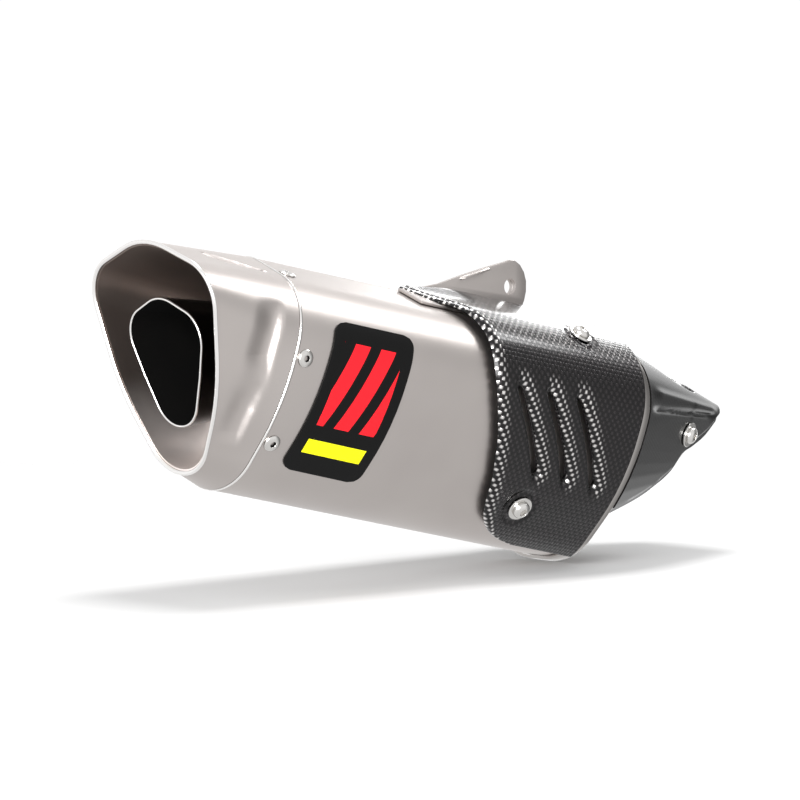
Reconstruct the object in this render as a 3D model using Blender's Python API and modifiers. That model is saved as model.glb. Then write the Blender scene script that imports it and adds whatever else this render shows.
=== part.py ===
"""Slip-on silencer of a motorcycle exhaust, as an assembly of separate pieces.

Everything is drawn in the can's own frame: x runs along the can from the joint
between end cap and sleeve to the inlet, -y is the outboard side, z is up. One
empty then tips that frame to the installed attitude, with the outlet raised,
and puts the centre of the hanger's bolt hole at the world's origin.
"""

import math

import bmesh
import bpy
from mathutils import Matrix, Vector

COLLECTION = "slip_on_silencer"
GAP = 0.0003
PITCH = math.radians(11.84)

# Can section at the joint: half corners as (half width, height, corner radius).
RIDGE = (0.0, 0.064, 0.025)
SHOULDER = (0.058, 0.0435, 0.037)
MID_SIDE = (0.050, -0.0145, 0.115)
BOTTOM = (0.020, -0.0635, 0.035)
CORNER_STEPS = (4, 6, 3, 5)

# The sleeve grows from the joint to its inlet end.
SLEEVE_LENGTH = 0.252
SLEEVE_WALL = 0.0012
WIDTH_GROWTH = 0.19
TOP_GROWTH = 0.12
BOTTOM_GROWTH = 0.02

# End cap: slanted mouth, flange inside the sleeve.
MOUTH_X = -0.0435
MOUTH_TILT = math.radians(-23.5)
MOUTH = ((0.0, 0.0655, 0.053), (0.0555, 0.045, 0.023), (0.043, -0.0185, 0.12), (0.016, -0.063, 0.0285))
CAP_WALL = 0.0012
FLANGE = 0.014
DISH_X = 0.008
DISH_STEPS = 5

# Outlet tip, recessed a little behind the mouth and level in the installed attitude.
TIP_X = -0.0395
TIP = ((0.0, 0.035, 0.025), (0.035, 0.020, 0.0165), (0.0245, -0.0095, 0.04), (0.0125, -0.037, 0.018))
TIP_WALL = 0.0012
TIP_LEVEL_END = 0.010
TIP_NARROWING = 0.94

# Gas path: tip, perforated core and inlet pipe share one radius.
PIPE_RADIUS = 0.027
PIPE_WALL = 0.0015
PIPE_Z = 0.006
CORE_START = 0.070
CORE_END = 0.216
BULKHEAD_X = 0.060
BULKHEAD_WALL = 0.0020
INLET_WALL_X = 0.228
INLET_PIPE_END = 0.304
CLAMP_SLOT = 0.022
CORE_HOLE_RADIUS = 0.0030
CORE_HOLE_ROWS = 6
CORE_HOLES_ROUND = 8

# End ring, over the sleeve's inlet end.
RING_START = 0.2465
RING_END = 0.2555
RING_WALL = 0.0018

# Heat shield: an open shell that stands off the sleeve.
SHIELD_OFFSET = 0.0060
SHIELD_WALL = 0.0016
SHIELD_REAR = 0.245
SHIELD_FRONT_RIDGE = 0.1075
SHIELD_FRONT_BOTTOM = 0.168
SHIELD_TOP_T = 0.036
SHIELD_BOTTOM_T = 0.885
SHIELD_CORNER = 0.020
HALF_LENGTH = 0.190
LOUVRES = 3
LOUVRE_PITCH = 0.0225
LOUVRE_X = 0.1655
LOUVRE_Z = -0.0015
LOUVRE_LENGTH = 0.052
LOUVRE_WIDTH = 0.0062
LOUVRE_SLANT = math.radians(34.5)

# Inlet cover: a hood from the end ring to a narrow mouth, cut away underneath.
COVER_START = 0.2559
COVER_END = 0.349
COVER_WALL = 0.0016
COVER_END_CORNERS = (
    (0.0, 0.049, 0.020), (0.0345, 0.0415, 0.010), (0.027, 0.006, 0.060), (0.012, -0.020, 0.010),
)
COVER_EDGE = (
    (0.2559, -0.037), (0.283, -0.024), (0.297, -0.0145), (0.309, -0.004),
    (0.316, 0.008), (0.327, 0.0145), (0.340, 0.023), (0.349, 0.033),
)
COVER_SCREW = (0.313, 0.020)
COVER_ARM = ((0.257, 0.0294), (0.268, 0.0294), (0.279, 0.0345))
ARM_WALL = 0.0018
ARM_HALF_WIDTH = 0.0065

# Hanger: base plate on the sleeve, upright tab with a bolt hole and its bush.
HANGER_BASE = (0.105, 0.206)
HANGER_BASE_T = 0.165
HANGER_BASE_WALL = 0.0015
TAB_Y = (0.0005, 0.0030)
TAB_HOLE = (0.1945, 0.0852)
TAB_END_RADIUS = 0.0145
HOLE_RADIUS = 0.0046
BUSH_RADIUS = 0.0080
BUSH_LENGTH = 0.0028

# Badge plate on the outboard side.
BADGE_X = (0.023, 0.077)
BADGE_T = (0.27, 0.80)
BADGE_WALL = 0.0005

# Fasteners.
RIVET_RADIUS = 0.0047
RIVET_SHANK = 0.0019
RIVET_X = (0.0070, 0.2400)
RIVET_T = (0.165, 0.469, 0.735)
SCREW_HEAD = 0.0052
SCREW_HEAD_HEIGHT = 0.0033
SCREW_SHANK = 0.0030
WASHER_RADIUS = 0.0075
WASHER_THICKNESS = 0.0012
BOSS_RADIUS = 0.0060
HEX_FLAT = math.cos(math.radians(30))
SHIELD_SCREWS = {"top": (0.206, 0.235), "lower": (0.183, 0.745)}

# Band clamp on the slotted end of the inlet pipe.
CLAMP_X = 0.2905
CLAMP_WIDTH = 0.014
CLAMP_WALL = 0.0020
CLAMP_GAP = 0.0025
EAR_WALL = 0.0030
EAR_REACH = 0.0430
CLAMP_SCREW_REACH = 0.0365
CLAMP_SCREW_RADIUS = 0.0025
CLAMP_TURN = math.radians(35.0)

TITANIUM = ("titanium_satin", (0.44, 0.41, 0.39), 0.38, 1.0)
POLISHED = ("titanium_polished", (0.72, 0.71, 0.70), 0.15, 1.0)
DARK_METAL = ("metal_sooty", (0.05, 0.048, 0.045), 0.6, 0.6)
CARBON = ("carbon_weave", (0.03, 0.03, 0.032), 0.35, 0.0)
CARBON_GLOSS = ("carbon_gloss", (0.02, 0.02, 0.021), 0.10, 0.0)
STEEL = ("steel_stainless", (0.62, 0.61, 0.60), 0.25, 1.0)
BADGE_BLACK = ("badge_black", (0.015, 0.015, 0.015), 0.45, 0.0)
WOOL = ("glass_wool", (0.62, 0.58, 0.45), 0.9, 0.0)


def clear_scene():
    """Remove every object that the file opened with."""
    for obj in list(bpy.data.objects):
        bpy.data.objects.remove(obj)


def new_collection(name):
    """A collection linked to the scene."""
    made = bpy.data.collections.new(name)
    bpy.context.scene.collection.children.link(made)
    return made


def material(finish):
    """The Principled material of a finish, made once."""
    name, colour, roughness, metallic = finish
    found = bpy.data.materials.get(name)
    if found:
        return found
    made = bpy.data.materials.new(name)
    made.use_nodes = True
    shader = made.node_tree.nodes["Principled BSDF"]
    shader.inputs["Base Color"].default_value = (*colour, 1.0)
    shader.inputs["Roughness"].default_value = roughness
    shader.inputs["Metallic"].default_value = metallic
    return made


def add_object(name, mesh, finish, collection):
    """An object in the can's frame, hung on the can's empty."""
    obj = bpy.data.objects.new(name, mesh)
    collection.objects.link(obj)
    mesh.materials.append(material(finish))
    mesh.shade_smooth()
    mesh.set_sharp_from_angle(angle=math.radians(35))
    obj.parent = can
    return obj


def mesh_from(name, points, faces):
    """A mesh whose faces point outwards."""
    mesh = bpy.data.meshes.new(name)
    mesh.from_pydata(points, [], faces)
    work = bmesh.new()
    work.from_mesh(mesh)
    bmesh.ops.recalc_face_normals(work, faces=work.faces)
    work.to_mesh(mesh)
    work.free()
    return mesh


# ---------------------------------------------------------------- sections

def rounded_loop(half_corners):
    """A closed (y, z) loop from half corners, starting at the ridge and going outboard.

    Each corner becomes an arc, kept short enough to leave both neighbours room.
    """
    near = list(zip(half_corners, CORNER_STEPS))
    far = [((-w, z, r), steps) for (w, z, r), steps in reversed(near[1:])]
    corners = near + far
    points = []
    for i, ((w, z, radius), steps) in enumerate(corners):
        here = Vector((-w, z))
        beside = (corners[i - 1], corners[(i + 1) % len(corners)])
        before, after = (Vector((-c[0][0], c[0][1])) for c in beside)
        back, ahead = (before - here), (after - here)
        half = back.angle(ahead) / 2
        reach = min(radius / math.tan(half), 0.49 * back.length, 0.49 * ahead.length)
        radius = reach * math.tan(half)
        middle = here + (back.normalized() + ahead.normalized()).normalized() * (radius / math.sin(half))
        start = here + back.normalized() * reach - middle
        sweep = math.pi - 2 * half
        turn = 1 if back.x * ahead.y - back.y * ahead.x < 0 else -1
        for step in range(steps + 1):
            angle = turn * sweep * step / steps
            spun = Vector((start.x * math.cos(angle) - start.y * math.sin(angle),
                           start.x * math.sin(angle) + start.y * math.cos(angle)))
            points.append(middle + spun)
    first = CORNER_STEPS[0] // 2
    return points[first:] + points[:first]


def offset_loop(loop, distance):
    """The closed loop moved outwards by distance, or inwards if it is negative."""
    moved = []
    for i, here in enumerate(loop):
        back, ahead = here - loop[i - 1], loop[(i + 1) % len(loop)] - here
        normals = [Vector((-v.y, v.x)).normalized() for v in (back, ahead)]
        normals = [n if n.dot(here - Vector((0, 0))) > 0 else -n for n in normals]
        mean = (normals[0] + normals[1]).normalized()
        moved.append(here + mean * (distance / max(mean.dot(normals[0]), 0.5)))
    return moved


def can_corners(share):
    """The can's half corners at a share of the way along the sleeve."""
    wide, top, low = 1 + WIDTH_GROWTH * share, 1 + TOP_GROWTH * share, 1 + BOTTOM_GROWTH * share
    return [(w * wide, z * (top if z > 0 else low), r) for w, z, r in (RIDGE, SHOULDER, MID_SIDE, BOTTOM)]


def can_loop(x, offset):
    """The can's (y, z) outline at x: straight lines join the outlines at both ends."""
    ends = [offset_loop(rounded_loop(can_corners(share)), offset) for share in (0.0, 1.0)]
    return [a.lerp(b, x / SLEEVE_LENGTH) for a, b in zip(*ends)]


def can_ring(x, offset):
    """The can's outline at x, moved outwards by offset, as 3D points."""
    return [Vector((x, p.x, p.y)) for p in can_loop(x, offset)]


def tilted_ring(corners, x, tilt, offset):
    """A rounded outline in a plane tilted about y, as 3D points."""
    loop = offset_loop(rounded_loop(corners), offset)
    return [Vector((x + p.y * math.sin(tilt), p.x, p.y * math.cos(tilt))) for p in loop]


def round_ring(x, radius, sides=24):
    """An even circle about the pipe's axis, starting at the top and going outboard."""
    angles = [math.pi / 2 + math.tau * i / sides for i in range(sides)]
    return [Vector((x, radius * math.cos(a), PIPE_Z + radius * math.sin(a))) for a in angles]


def tube_of_rings(name, rings, finish, collection):
    """A closed body whose wall section is the sequence of rings, joined last to first."""
    count = len(rings[0])
    points = [p for ring in rings for p in ring]
    faces = []
    for i in range(len(rings)):
        a, b = i * count, (i + 1) % len(rings) * count
        for j in range(count):
            k = (j + 1) % count
            faces.append((a + j, a + k, b + k, b + j))
    return add_object(name, mesh_from(name, points, faces), finish, collection)


def half_of(loop):
    """The outboard half of an outline, from the ridge to the bottom centre."""
    count = len(loop) // 2 + 1
    return loop[:count] + [(loop[count - 1] + loop[count]) / 2]


def along(points, share):
    """The point at a share of a polyline's length."""
    lengths = [(b - a).length for a, b in zip(points, points[1:])]
    left = share * sum(lengths)
    for a, b, length in zip(points, points[1:], lengths):
        if left <= length:
            return a.lerp(b, left / length)
        left -= length
    return points[-1].copy()


def place_of(share):
    """The place on the half outline, counted in corners, of a share of its length at mid sleeve."""
    points = half_of(can_loop(SLEEVE_LENGTH / 2, 0.0))
    lengths = [(b - a).length for a, b in zip(points, points[1:])]
    left = share * sum(lengths)
    for i, length in enumerate(lengths):
        if left <= length:
            return i + left / length
        left -= length
    return len(lengths)


def share_of(place):
    """The share of the half outline's length at a place counted in corners."""
    points = half_of(can_loop(SLEEVE_LENGTH / 2, 0.0))
    lengths = [(b - a).length for a, b in zip(points, points[1:])]
    whole = int(place)
    part = lengths[whole] * (place - whole) if whole < len(lengths) else 0.0
    return (sum(lengths[:whole]) + part) / sum(lengths)


def patch_shares(start, end, longest=0.05):
    """Shares from start to end that include every corner of the outline between them."""
    first, last = place_of(start), place_of(end)
    stops = [start] + [share_of(k) for k in range(int(first) + 1, math.ceil(last))] + [end]
    shares = [start]
    for a, b in zip(stops, stops[1:]):
        parts = max(math.ceil((b - a) / longest), 1)
        shares += [a + (b - a) * (k + 1) / parts for k in range(parts)]
    return shares


def skin_point(x, share, offset, side=1):
    """A point on the sleeve's skin moved out by offset; share runs from ridge to bottom."""
    points = half_of(can_loop(x, offset))
    place = place_of(share)
    whole = min(int(place), len(points) - 2)
    p = points[whole].lerp(points[whole + 1], place - whole)
    return Vector((x, p.x * side, p.y))


def skin_frame(x, share, side=1):
    """Where a fastener sits on the sleeve: a matrix whose z axis is the outward normal."""
    here = skin_point(x, share, 0.0, side)
    step = 0.002
    length = skin_point(x + step, share, 0.0, side) - here
    round_it = skin_point(x, share + 0.004, 0.0, side) - here
    out = length.cross(round_it).normalized()
    if out.dot(Vector((0, here.y, here.z))) < 0:
        out = -out
    return frame_at(here, out)


def frame_at(here, out):
    """A matrix at a point whose z axis is the direction out."""
    return Matrix.Translation(here) @ out.to_track_quat("Z", "Y").to_matrix().to_4x4()


# ---------------------------------------------------------------- solids

def sheet(name, grid, thickness, finish, collection):
    """A closed shell from a grid of points, given its thickness outwards."""
    rows, columns = len(grid), len(grid[0])
    points = [p for row in grid for p in row]
    faces = [(i * columns + j, i * columns + j + 1, (i + 1) * columns + j + 1, (i + 1) * columns + j)
             for i in range(rows - 1) for j in range(columns - 1)]
    mesh = bpy.data.meshes.new(name)
    mesh.from_pydata(points, [], faces)
    middle = mesh.polygons[len(faces) // 2]
    if middle.normal.dot(Vector((0, middle.center.y, middle.center.z))) < 0:
        mesh.flip_normals()
    obj = add_object(name, mesh, finish, collection)
    solid = obj.modifiers.new("wall", "SOLIDIFY")
    solid.thickness = thickness
    solid.offset = 1.0
    solid.use_even_offset = True
    return obj


def turned(name, profile, finish, collection, frame, steps=12, closed=False):
    """A turned solid on a frame's z axis from an (r, z) profile, drawn top to bottom."""
    mesh = bpy.data.meshes.new(name)
    edges = [(i, i + 1) for i in range(len(profile) - 1)]
    if closed:
        edges.append((len(profile) - 1, 0))
    mesh.from_pydata([(r, 0.0, z) for r, z in profile], edges, [])
    obj = add_object(name, mesh, finish, collection)
    screw = obj.modifiers.new("turn", "SCREW")
    screw.steps = screw.render_steps = steps
    screw.use_merge_vertices = True
    screw.merge_threshold = 0.00001
    obj.matrix_local = frame
    return obj


def washer_profile(inner, outer, low, high):
    """A closed rectangular ring profile, its outer side from top to bottom first."""
    return [(outer, high), (outer, low), (inner, low), (inner, high)]


def cutter(name, mesh_maker, frame):
    """A wire-shown helper in the cutters' collection."""
    work = bmesh.new()
    mesh_maker(work)
    mesh = bpy.data.meshes.new(name)
    work.to_mesh(mesh)
    work.free()
    obj = bpy.data.objects.new(name, mesh)
    cutters.objects.link(obj)
    obj.hide_render = True
    obj.display_type = "WIRE"
    obj.parent = can
    obj.matrix_local = frame
    return obj


def round_cutter(name, frame, radius, depth, sides=12):
    """A cylinder cutter centred on a frame and along its z axis."""
    def make(work):
        bmesh.ops.create_cone(work, cap_ends=True, segments=sides, depth=depth,
                              radius1=radius, radius2=radius)
    return cutter(name, make, frame)


def cut(obj, tools):
    """Cut each tool out of an object."""
    for i, tool in enumerate(tools):
        step = obj.modifiers.new(f"cut_{i}", "BOOLEAN")
        step.operation = "DIFFERENCE"
        step.solver = "EXACT"
        step.object = tool


# ---------------------------------------------------------------- can

def build_sleeve(collection, rivet_tools):
    """The titanium sleeve, a tapered shell open at both ends."""
    rings = [can_ring(0.0, 0.0), can_ring(SLEEVE_LENGTH, 0.0),
             can_ring(SLEEVE_LENGTH, -SLEEVE_WALL), can_ring(0.0, -SLEEVE_WALL)]
    sleeve = tube_of_rings("outer_sleeve", rings, TITANIUM, collection)
    cut(sleeve, rivet_tools["outlet"] + rivet_tools["inlet"])


def build_end_ring(collection):
    """The polished ring around the sleeve's inlet end."""
    inner = GAP + 0.0001
    rings = [can_ring(RING_START, inner), can_ring(RING_START, inner + 0.6 * RING_WALL),
             can_ring(RING_START + 0.001, inner + RING_WALL), can_ring(RING_END - 0.001, inner + RING_WALL),
             can_ring(RING_END, inner + 0.5 * RING_WALL), can_ring(RING_END, inner)]
    tube_of_rings("inlet_end_ring", rings, POLISHED, collection)


def build_end_cap(collection, rivet_tools):
    """The outlet end cap, with the slanted mouth and a flange inside the sleeve."""
    inside = -(SLEEVE_WALL + GAP)
    rings = [
        tilted_ring(MOUTH, MOUTH_X, MOUTH_TILT, 0.0),
        can_ring(-GAP, 0.0),
        can_ring(-GAP, inside),
        can_ring(FLANGE, inside),
        can_ring(FLANGE, inside - CAP_WALL),
        can_ring(-CAP_WALL - GAP, inside - CAP_WALL),
        can_ring(-CAP_WALL - GAP, -CAP_WALL),
        tilted_ring(MOUTH, MOUTH_X, MOUTH_TILT, -CAP_WALL),
    ]
    cap = tube_of_rings("outlet_end_cap", rings, TITANIUM, collection)
    cut(cap, rivet_tools["outlet"])


def tip_ring(share, offset):
    """The outlet tip between its tilted lip (share 0) and its level end (share 1)."""
    lip = tilted_ring(TIP, TIP_X, MOUTH_TILT, offset)
    rise = (TIP_LEVEL_END - TIP_X) * math.tan(PITCH)
    ring = []
    for p in lip:
        end = Vector((TIP_LEVEL_END, p.y * TIP_NARROWING, p.z * TIP_NARROWING + rise))
        ring.append(p.lerp(end, share))
    return ring


def build_outlet_tip(collection):
    """The inner outlet tube, from its shaped lip to a round tail in the bulkhead."""
    outer, inner = [], []
    for share in (0.0, 0.5, 1.0):
        outer.append(tip_ring(share, 0.0))
        inner.append(tip_ring(share, -TIP_WALL))
    for x in (BULKHEAD_X - 0.006, CORE_START - GAP):
        outer.append(round_ring(x, PIPE_RADIUS, len(outer[0])))
        inner.append(round_ring(x, PIPE_RADIUS - TIP_WALL, len(outer[0])))
    tube_of_rings("outlet_tube", outer + inner[::-1], POLISHED, collection)


def build_funnel(collection):
    """The dish between the mouth and the outlet tube, pressed from one sheet."""
    wall = 0.0010
    rim_gap = CAP_WALL + GAP

    def dish(offset, collar):
        rim = tilted_ring(MOUTH, MOUTH_X, MOUTH_TILT, -rim_gap - offset)
        share = (DISH_X - TIP_X) / (TIP_LEVEL_END - TIP_X)
        throat = [Vector((DISH_X, p.y, p.z)) for p in tip_ring(min(share, 1.0), collar)]
        rings = []
        for i in range(DISH_STEPS + 1):
            angle = math.pi / 2 * i / DISH_STEPS
            deep, inward = math.sin(angle), 1 - math.cos(angle)
            rings.append([Vector((a.x + (b.x - offset - a.x) * deep,
                                  a.y + (b.y - a.y) * inward,
                                  a.z + (b.z - a.z) * inward)) for a, b in zip(rim, throat)])
        return rings

    face = dish(wall, 0.0012)
    back = dish(0.0, 0.0012)
    tube_of_rings("outlet_funnel", face + back[::-1], TITANIUM, collection)


def build_bulkheads(collection, rivet_tools):
    """The plates that close the can around the gas path."""
    inside = -(SLEEVE_WALL + GAP)
    hole = PIPE_RADIUS + GAP
    near, far = BULKHEAD_X, BULKHEAD_X + BULKHEAD_WALL
    edge = can_ring(near, inside)
    rings = [edge, can_ring(far, inside), round_ring(far, hole, len(edge)), round_ring(near, hole, len(edge))]
    tube_of_rings("outlet_bulkhead", rings, STEEL, collection)

    near, far = INLET_WALL_X, INLET_WALL_X + PIPE_WALL
    edge = can_ring(near, inside)
    rings = [
        can_ring(SLEEVE_LENGTH, inside), edge,
        round_ring(near, hole, len(edge)), round_ring(far, hole, len(edge)),
        can_ring(far, inside - CAP_WALL), can_ring(SLEEVE_LENGTH, inside - CAP_WALL),
    ]
    plate = tube_of_rings("inlet_bulkhead", rings, TITANIUM, collection)
    cut(plate, rivet_tools["inlet"])


def build_core(collection):
    """The perforated core and the packing around it."""
    start, end = CORE_START + GAP, CORE_END
    outer, inner = PIPE_RADIUS, PIPE_RADIUS - 0.0010
    rings = [round_ring(start, outer), round_ring(end, outer),
             round_ring(end, inner), round_ring(start, inner)]
    core = tube_of_rings("perforated_core", rings, STEEL, collection)
    pitch = (end - start) / (CORE_HOLE_ROWS + 1)
    tools = []
    for row in range(CORE_HOLE_ROWS):
        for turn in range(CORE_HOLES_ROUND // 2):
            angle = math.tau * (turn + 0.25 + 0.5 * (row % 2)) / CORE_HOLES_ROUND
            middle = Vector((start + pitch * (row + 1), 0.0, PIPE_Z))
            frame = frame_at(middle, Vector((0.0, math.cos(angle), math.sin(angle))))
            tools.append(round_cutter(f"core_drill_{row}_{turn}", frame, CORE_HOLE_RADIUS, 3 * outer, 6))
    cut(core, tools)

    wool_start, wool_end = BULKHEAD_X + BULKHEAD_WALL + 0.001, INLET_WALL_X - 0.001
    inside = -(SLEEVE_WALL + 2 * GAP)
    edge = can_ring(wool_start, inside)
    hole = PIPE_RADIUS + GAP
    rings = [edge, can_ring(wool_end, inside),
             round_ring(wool_end, hole, len(edge)), round_ring(wool_start, hole, len(edge))]
    tube_of_rings("packing_wool", rings, WOOL, collection)


def build_inlet_pipe(collection):
    """The inlet stub, slotted at its open end so that the clamp can close it."""
    start, end = CORE_END + GAP, INLET_PIPE_END
    outer, inner = PIPE_RADIUS, PIPE_RADIUS - PIPE_WALL
    rings = [round_ring(start, outer), round_ring(end, outer),
             round_ring(end, inner), round_ring(start, inner)]
    pipe = tube_of_rings("inlet_pipe", rings, TITANIUM, collection)

    def slot(work):
        bmesh.ops.create_cube(work, size=1.0)
        bmesh.ops.scale(work, verts=work.verts, vec=(2 * CLAMP_SLOT, 0.0025, 3 * outer))
    tools = []
    for i in range(2):
        turn = Matrix.Rotation(math.radians(45 + 90 * i), 4, "X")
        tools.append(cutter(f"pipe_saw_{i}", slot, Matrix.Translation((end, 0, PIPE_Z)) @ turn))
    cut(pipe, tools)


# ---------------------------------------------------------------- shield and cover

def shield_front(share):
    """Where the shield's front edge lies at a share of the way from its top to its bottom."""
    sweep = 0.35 * share + 0.65 * share ** 2
    return SHIELD_FRONT_RIDGE + (SHIELD_FRONT_BOTTOM - SHIELD_FRONT_RIDGE) * sweep


def build_heat_shield(collection, screw_tools):
    """The carbon shell over the outboard side, with slanted louvres and rounded corners."""
    columns = 11
    grid = []
    for share in patch_shares(SHIELD_TOP_T, SHIELD_BOTTOM_T, 0.03):
        front = shield_front((share - SHIELD_TOP_T) / (SHIELD_BOTTOM_T - SHIELD_TOP_T))
        left = (SHIELD_BOTTOM_T - share) * HALF_LENGTH
        if left < SHIELD_CORNER:
            front += SHIELD_CORNER - math.sqrt(max(SHIELD_CORNER ** 2 - (SHIELD_CORNER - left) ** 2, 0.0))
        grid.append([skin_point(front + (SHIELD_REAR - front) * j / (columns - 1), share, SHIELD_OFFSET)
                     for j in range(columns)])
    shield = sheet("heat_shield", grid, SHIELD_WALL, CARBON, collection)

    def slot(work):
        straight = LOUVRE_LENGTH - LOUVRE_WIDTH
        ends = [Vector((LOUVRE_WIDTH / 2 * math.cos(a), LOUVRE_WIDTH / 2 * math.sin(a)))
                for a in (math.pi * k / 5 for k in range(6))]
        outline = [(p.x, p.y + straight / 2) for p in ends] + [(-p.x, -p.y - straight / 2) for p in ends]
        base = [work.verts.new((x, y, -0.015)) for x, y in outline]
        face = work.faces.new(base)
        made = bmesh.ops.extrude_face_region(work, geom=[face])
        lifted = [v for v in made["geom"] if isinstance(v, bmesh.types.BMVert)]
        bmesh.ops.translate(work, verts=lifted, vec=(0, 0, 0.030))
        bmesh.ops.recalc_face_normals(work, faces=work.faces)
    tools = []
    for i in range(LOUVRES):
        middle = Vector((LOUVRE_X + i * LOUVRE_PITCH, -0.068, LOUVRE_Z))
        upright = Matrix.Rotation(math.radians(90), 4, "X")
        slant = Matrix.Rotation(LOUVRE_SLANT, 4, "Z")
        tools.append(cutter(f"louvre_punch_{i}", slot, Matrix.Translation(middle) @ upright @ slant))
    cut(shield, tools + screw_tools)


def cover_section(x, offset, side=1, count=14):
    """The cover's half outline at x, cut off at its lower edge, as 3D points."""
    share = (x - COVER_START) / (COVER_END - COVER_START)
    base = half_of(can_loop(SLEEVE_LENGTH, offset + 0.0006))
    end = half_of(offset_loop(rounded_loop(COVER_END_CORNERS), offset))
    samples = 60
    blend = [along(base, i / samples).lerp(along(end, i / samples), share) for i in range(samples + 1)]
    edge = cover_edge(x)
    kept = [blend[0]]
    for a, b in zip(blend, blend[1:]):
        if b.y < edge:
            kept.append(a.lerp(b, (a.y - edge) / (a.y - b.y)))
            break
        kept.append(b)
    return [Vector((x, p.x * side, p.y)) for p in (along(kept, i / (count - 1)) for i in range(count))]


def cover_edge(x):
    """The height of the cover's lower edge at x."""
    for (x0, z0), (x1, z1) in zip(COVER_EDGE, COVER_EDGE[1:]):
        if x <= x1:
            return z0 + (z1 - z0) * (x - x0) / (x1 - x0)
    return COVER_EDGE[-1][1]


def cover_frame(side):
    """The frame of a cover screw on the cover's outer face."""
    x, z = COVER_SCREW

    def at(x, z):
        points = cover_section(x, COVER_WALL, side, 60)
        near = min(range(len(points) - 1), key=lambda i: abs(points[i].z - z) + (1 if i < 15 else 0))
        return points[near]
    here = at(x, z)
    length = at(x + 0.004, z) - at(x - 0.004, z)
    down = at(x, z - 0.005) - at(x, z + 0.005)
    out = length.cross(down).normalized()
    return frame_at(here, out if out.y * side < 0 else -out)


def build_inlet_cover(collection):
    """The gloss carbon hood over the inlet, an open shell with screws on both sides."""
    stations = 10
    grid = []
    for i in range(stations):
        x = COVER_START + (COVER_END - COVER_START) * i / (stations - 1)
        near, far = cover_section(x, 0.0), cover_section(x, 0.0, -1)
        grid.append(near[::-1] + far[1:])
    cover = sheet("inlet_cover", grid, COVER_WALL, CARBON_GLOSS, collection)
    tools = [round_cutter(f"cover_drill_{side}", cover_frame(side), SCREW_SHANK + GAP, 0.02)
             for side in (1, -1)]
    cut(cover, tools)


def build_cover_arms(collection):
    """The straps from the inlet pipe to the cover's screws."""
    for side, label in ((1, "outboard"), (-1, "inboard")):
        frame = cover_frame(side)
        out = frame.col[2].xyz
        ahead = (Vector((1, 0, 0)) - out * out.x).normalized()
        seat = frame.translation - out * (COVER_WALL + 4 * GAP)
        upright = Vector((0, 0, 1))
        across = out.cross(ahead)
        across = across if across.z > 0 else -across
        stops = [(Vector((x, -w * side, PIPE_Z)), upright, Vector((0, -side, 0))) for x, w in COVER_ARM]
        stops += [(seat + ahead * step, across, out) for step in (-0.009, 0.008)]
        rings = []
        for p, wide, thick in stops:
            low, high = p - wide * ARM_HALF_WIDTH, p + wide * ARM_HALF_WIDTH
            rings.append([low, high, high - thick * ARM_WALL, low - thick * ARM_WALL])
        last = 4 * (len(rings) - 1)
        faces = [(0, 1, 2, 3), (last + 3, last + 2, last + 1, last)]
        for a in range(0, last, 4):
            faces += [(a + k, a + 4 + k, a + 4 + (k + 1) % 4, a + (k + 1) % 4) for k in range(4)]
        mesh = mesh_from(f"cover_arm_{label}", [p for ring in rings for p in ring], faces)
        arm = add_object(f"cover_arm_{label}", mesh, TITANIUM, collection)
        cut(arm, [round_cutter(f"arm_drill_{label}", frame, SCREW_SHANK + GAP, 0.02)])


# ---------------------------------------------------------------- hanger and badge

def build_hanger(collection, screw_tools):
    """The hanger: a base plate on the sleeve, an upright tab and its bush."""
    columns = 6
    start, end = HANGER_BASE
    grid = []
    for share in patch_shares(0.012, HANGER_BASE_T):
        grid.append([skin_point(start + (end - start) * j / (columns - 1), share, 2 * GAP)
                     for j in range(columns)])
    base = sheet("hanger_base", grid, HANGER_BASE_WALL, TITANIUM, collection)
    cut(base, screw_tools)

    hole_x, hole_z = TAB_HOLE
    foot = [(x, can_loop(x, 0.0)[0].y + GAP) for x in (0.207, 0.126)]
    arc = [(hole_x + TAB_END_RADIUS * math.cos(a), hole_z + TAB_END_RADIUS * math.sin(a))
           for a in (math.radians(-25 + 145 * k / 10) for k in range(11))]
    outline = [foot[1], foot[0]] + arc
    work = bmesh.new()
    face = work.faces.new([work.verts.new((x, TAB_Y[0], z)) for x, z in outline])
    made = bmesh.ops.extrude_face_region(work, geom=[face])
    lifted = [v for v in made["geom"] if isinstance(v, bmesh.types.BMVert)]
    bmesh.ops.translate(work, verts=lifted, vec=(0, TAB_Y[1] - TAB_Y[0], 0))
    bmesh.ops.recalc_face_normals(work, faces=work.faces)
    mesh = bpy.data.meshes.new("hanger_tab")
    work.to_mesh(mesh)
    work.free()
    tab = add_object("hanger_tab", mesh, TITANIUM, collection)
    middle = (TAB_Y[0] + TAB_Y[1]) / 2
    cut(tab, [round_cutter("tab_drill", frame_at(Vector((hole_x, middle, hole_z)), Vector((0, 1, 0))),
                           HOLE_RADIUS, 0.02, 20)])

    seat = frame_at(Vector((hole_x, TAB_Y[1] + GAP, hole_z)), Vector((0, 1, 0)))
    turned("hanger_bush", washer_profile(HOLE_RADIUS, BUSH_RADIUS, 0.0, BUSH_LENGTH), TITANIUM, collection,
           seat, 20, True)


def build_badge(collection):
    """The plain badge plate on the outboard side."""
    columns = 3
    grid = []
    for share in patch_shares(*BADGE_T):
        grid.append([skin_point(BADGE_X[0] + (BADGE_X[1] - BADGE_X[0]) * j / (columns - 1), share, 1.5 * GAP)
                     for j in range(columns)])
    sheet("badge_plate", grid, BADGE_WALL, BADGE_BLACK, collection)


# ---------------------------------------------------------------- fasteners

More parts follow.
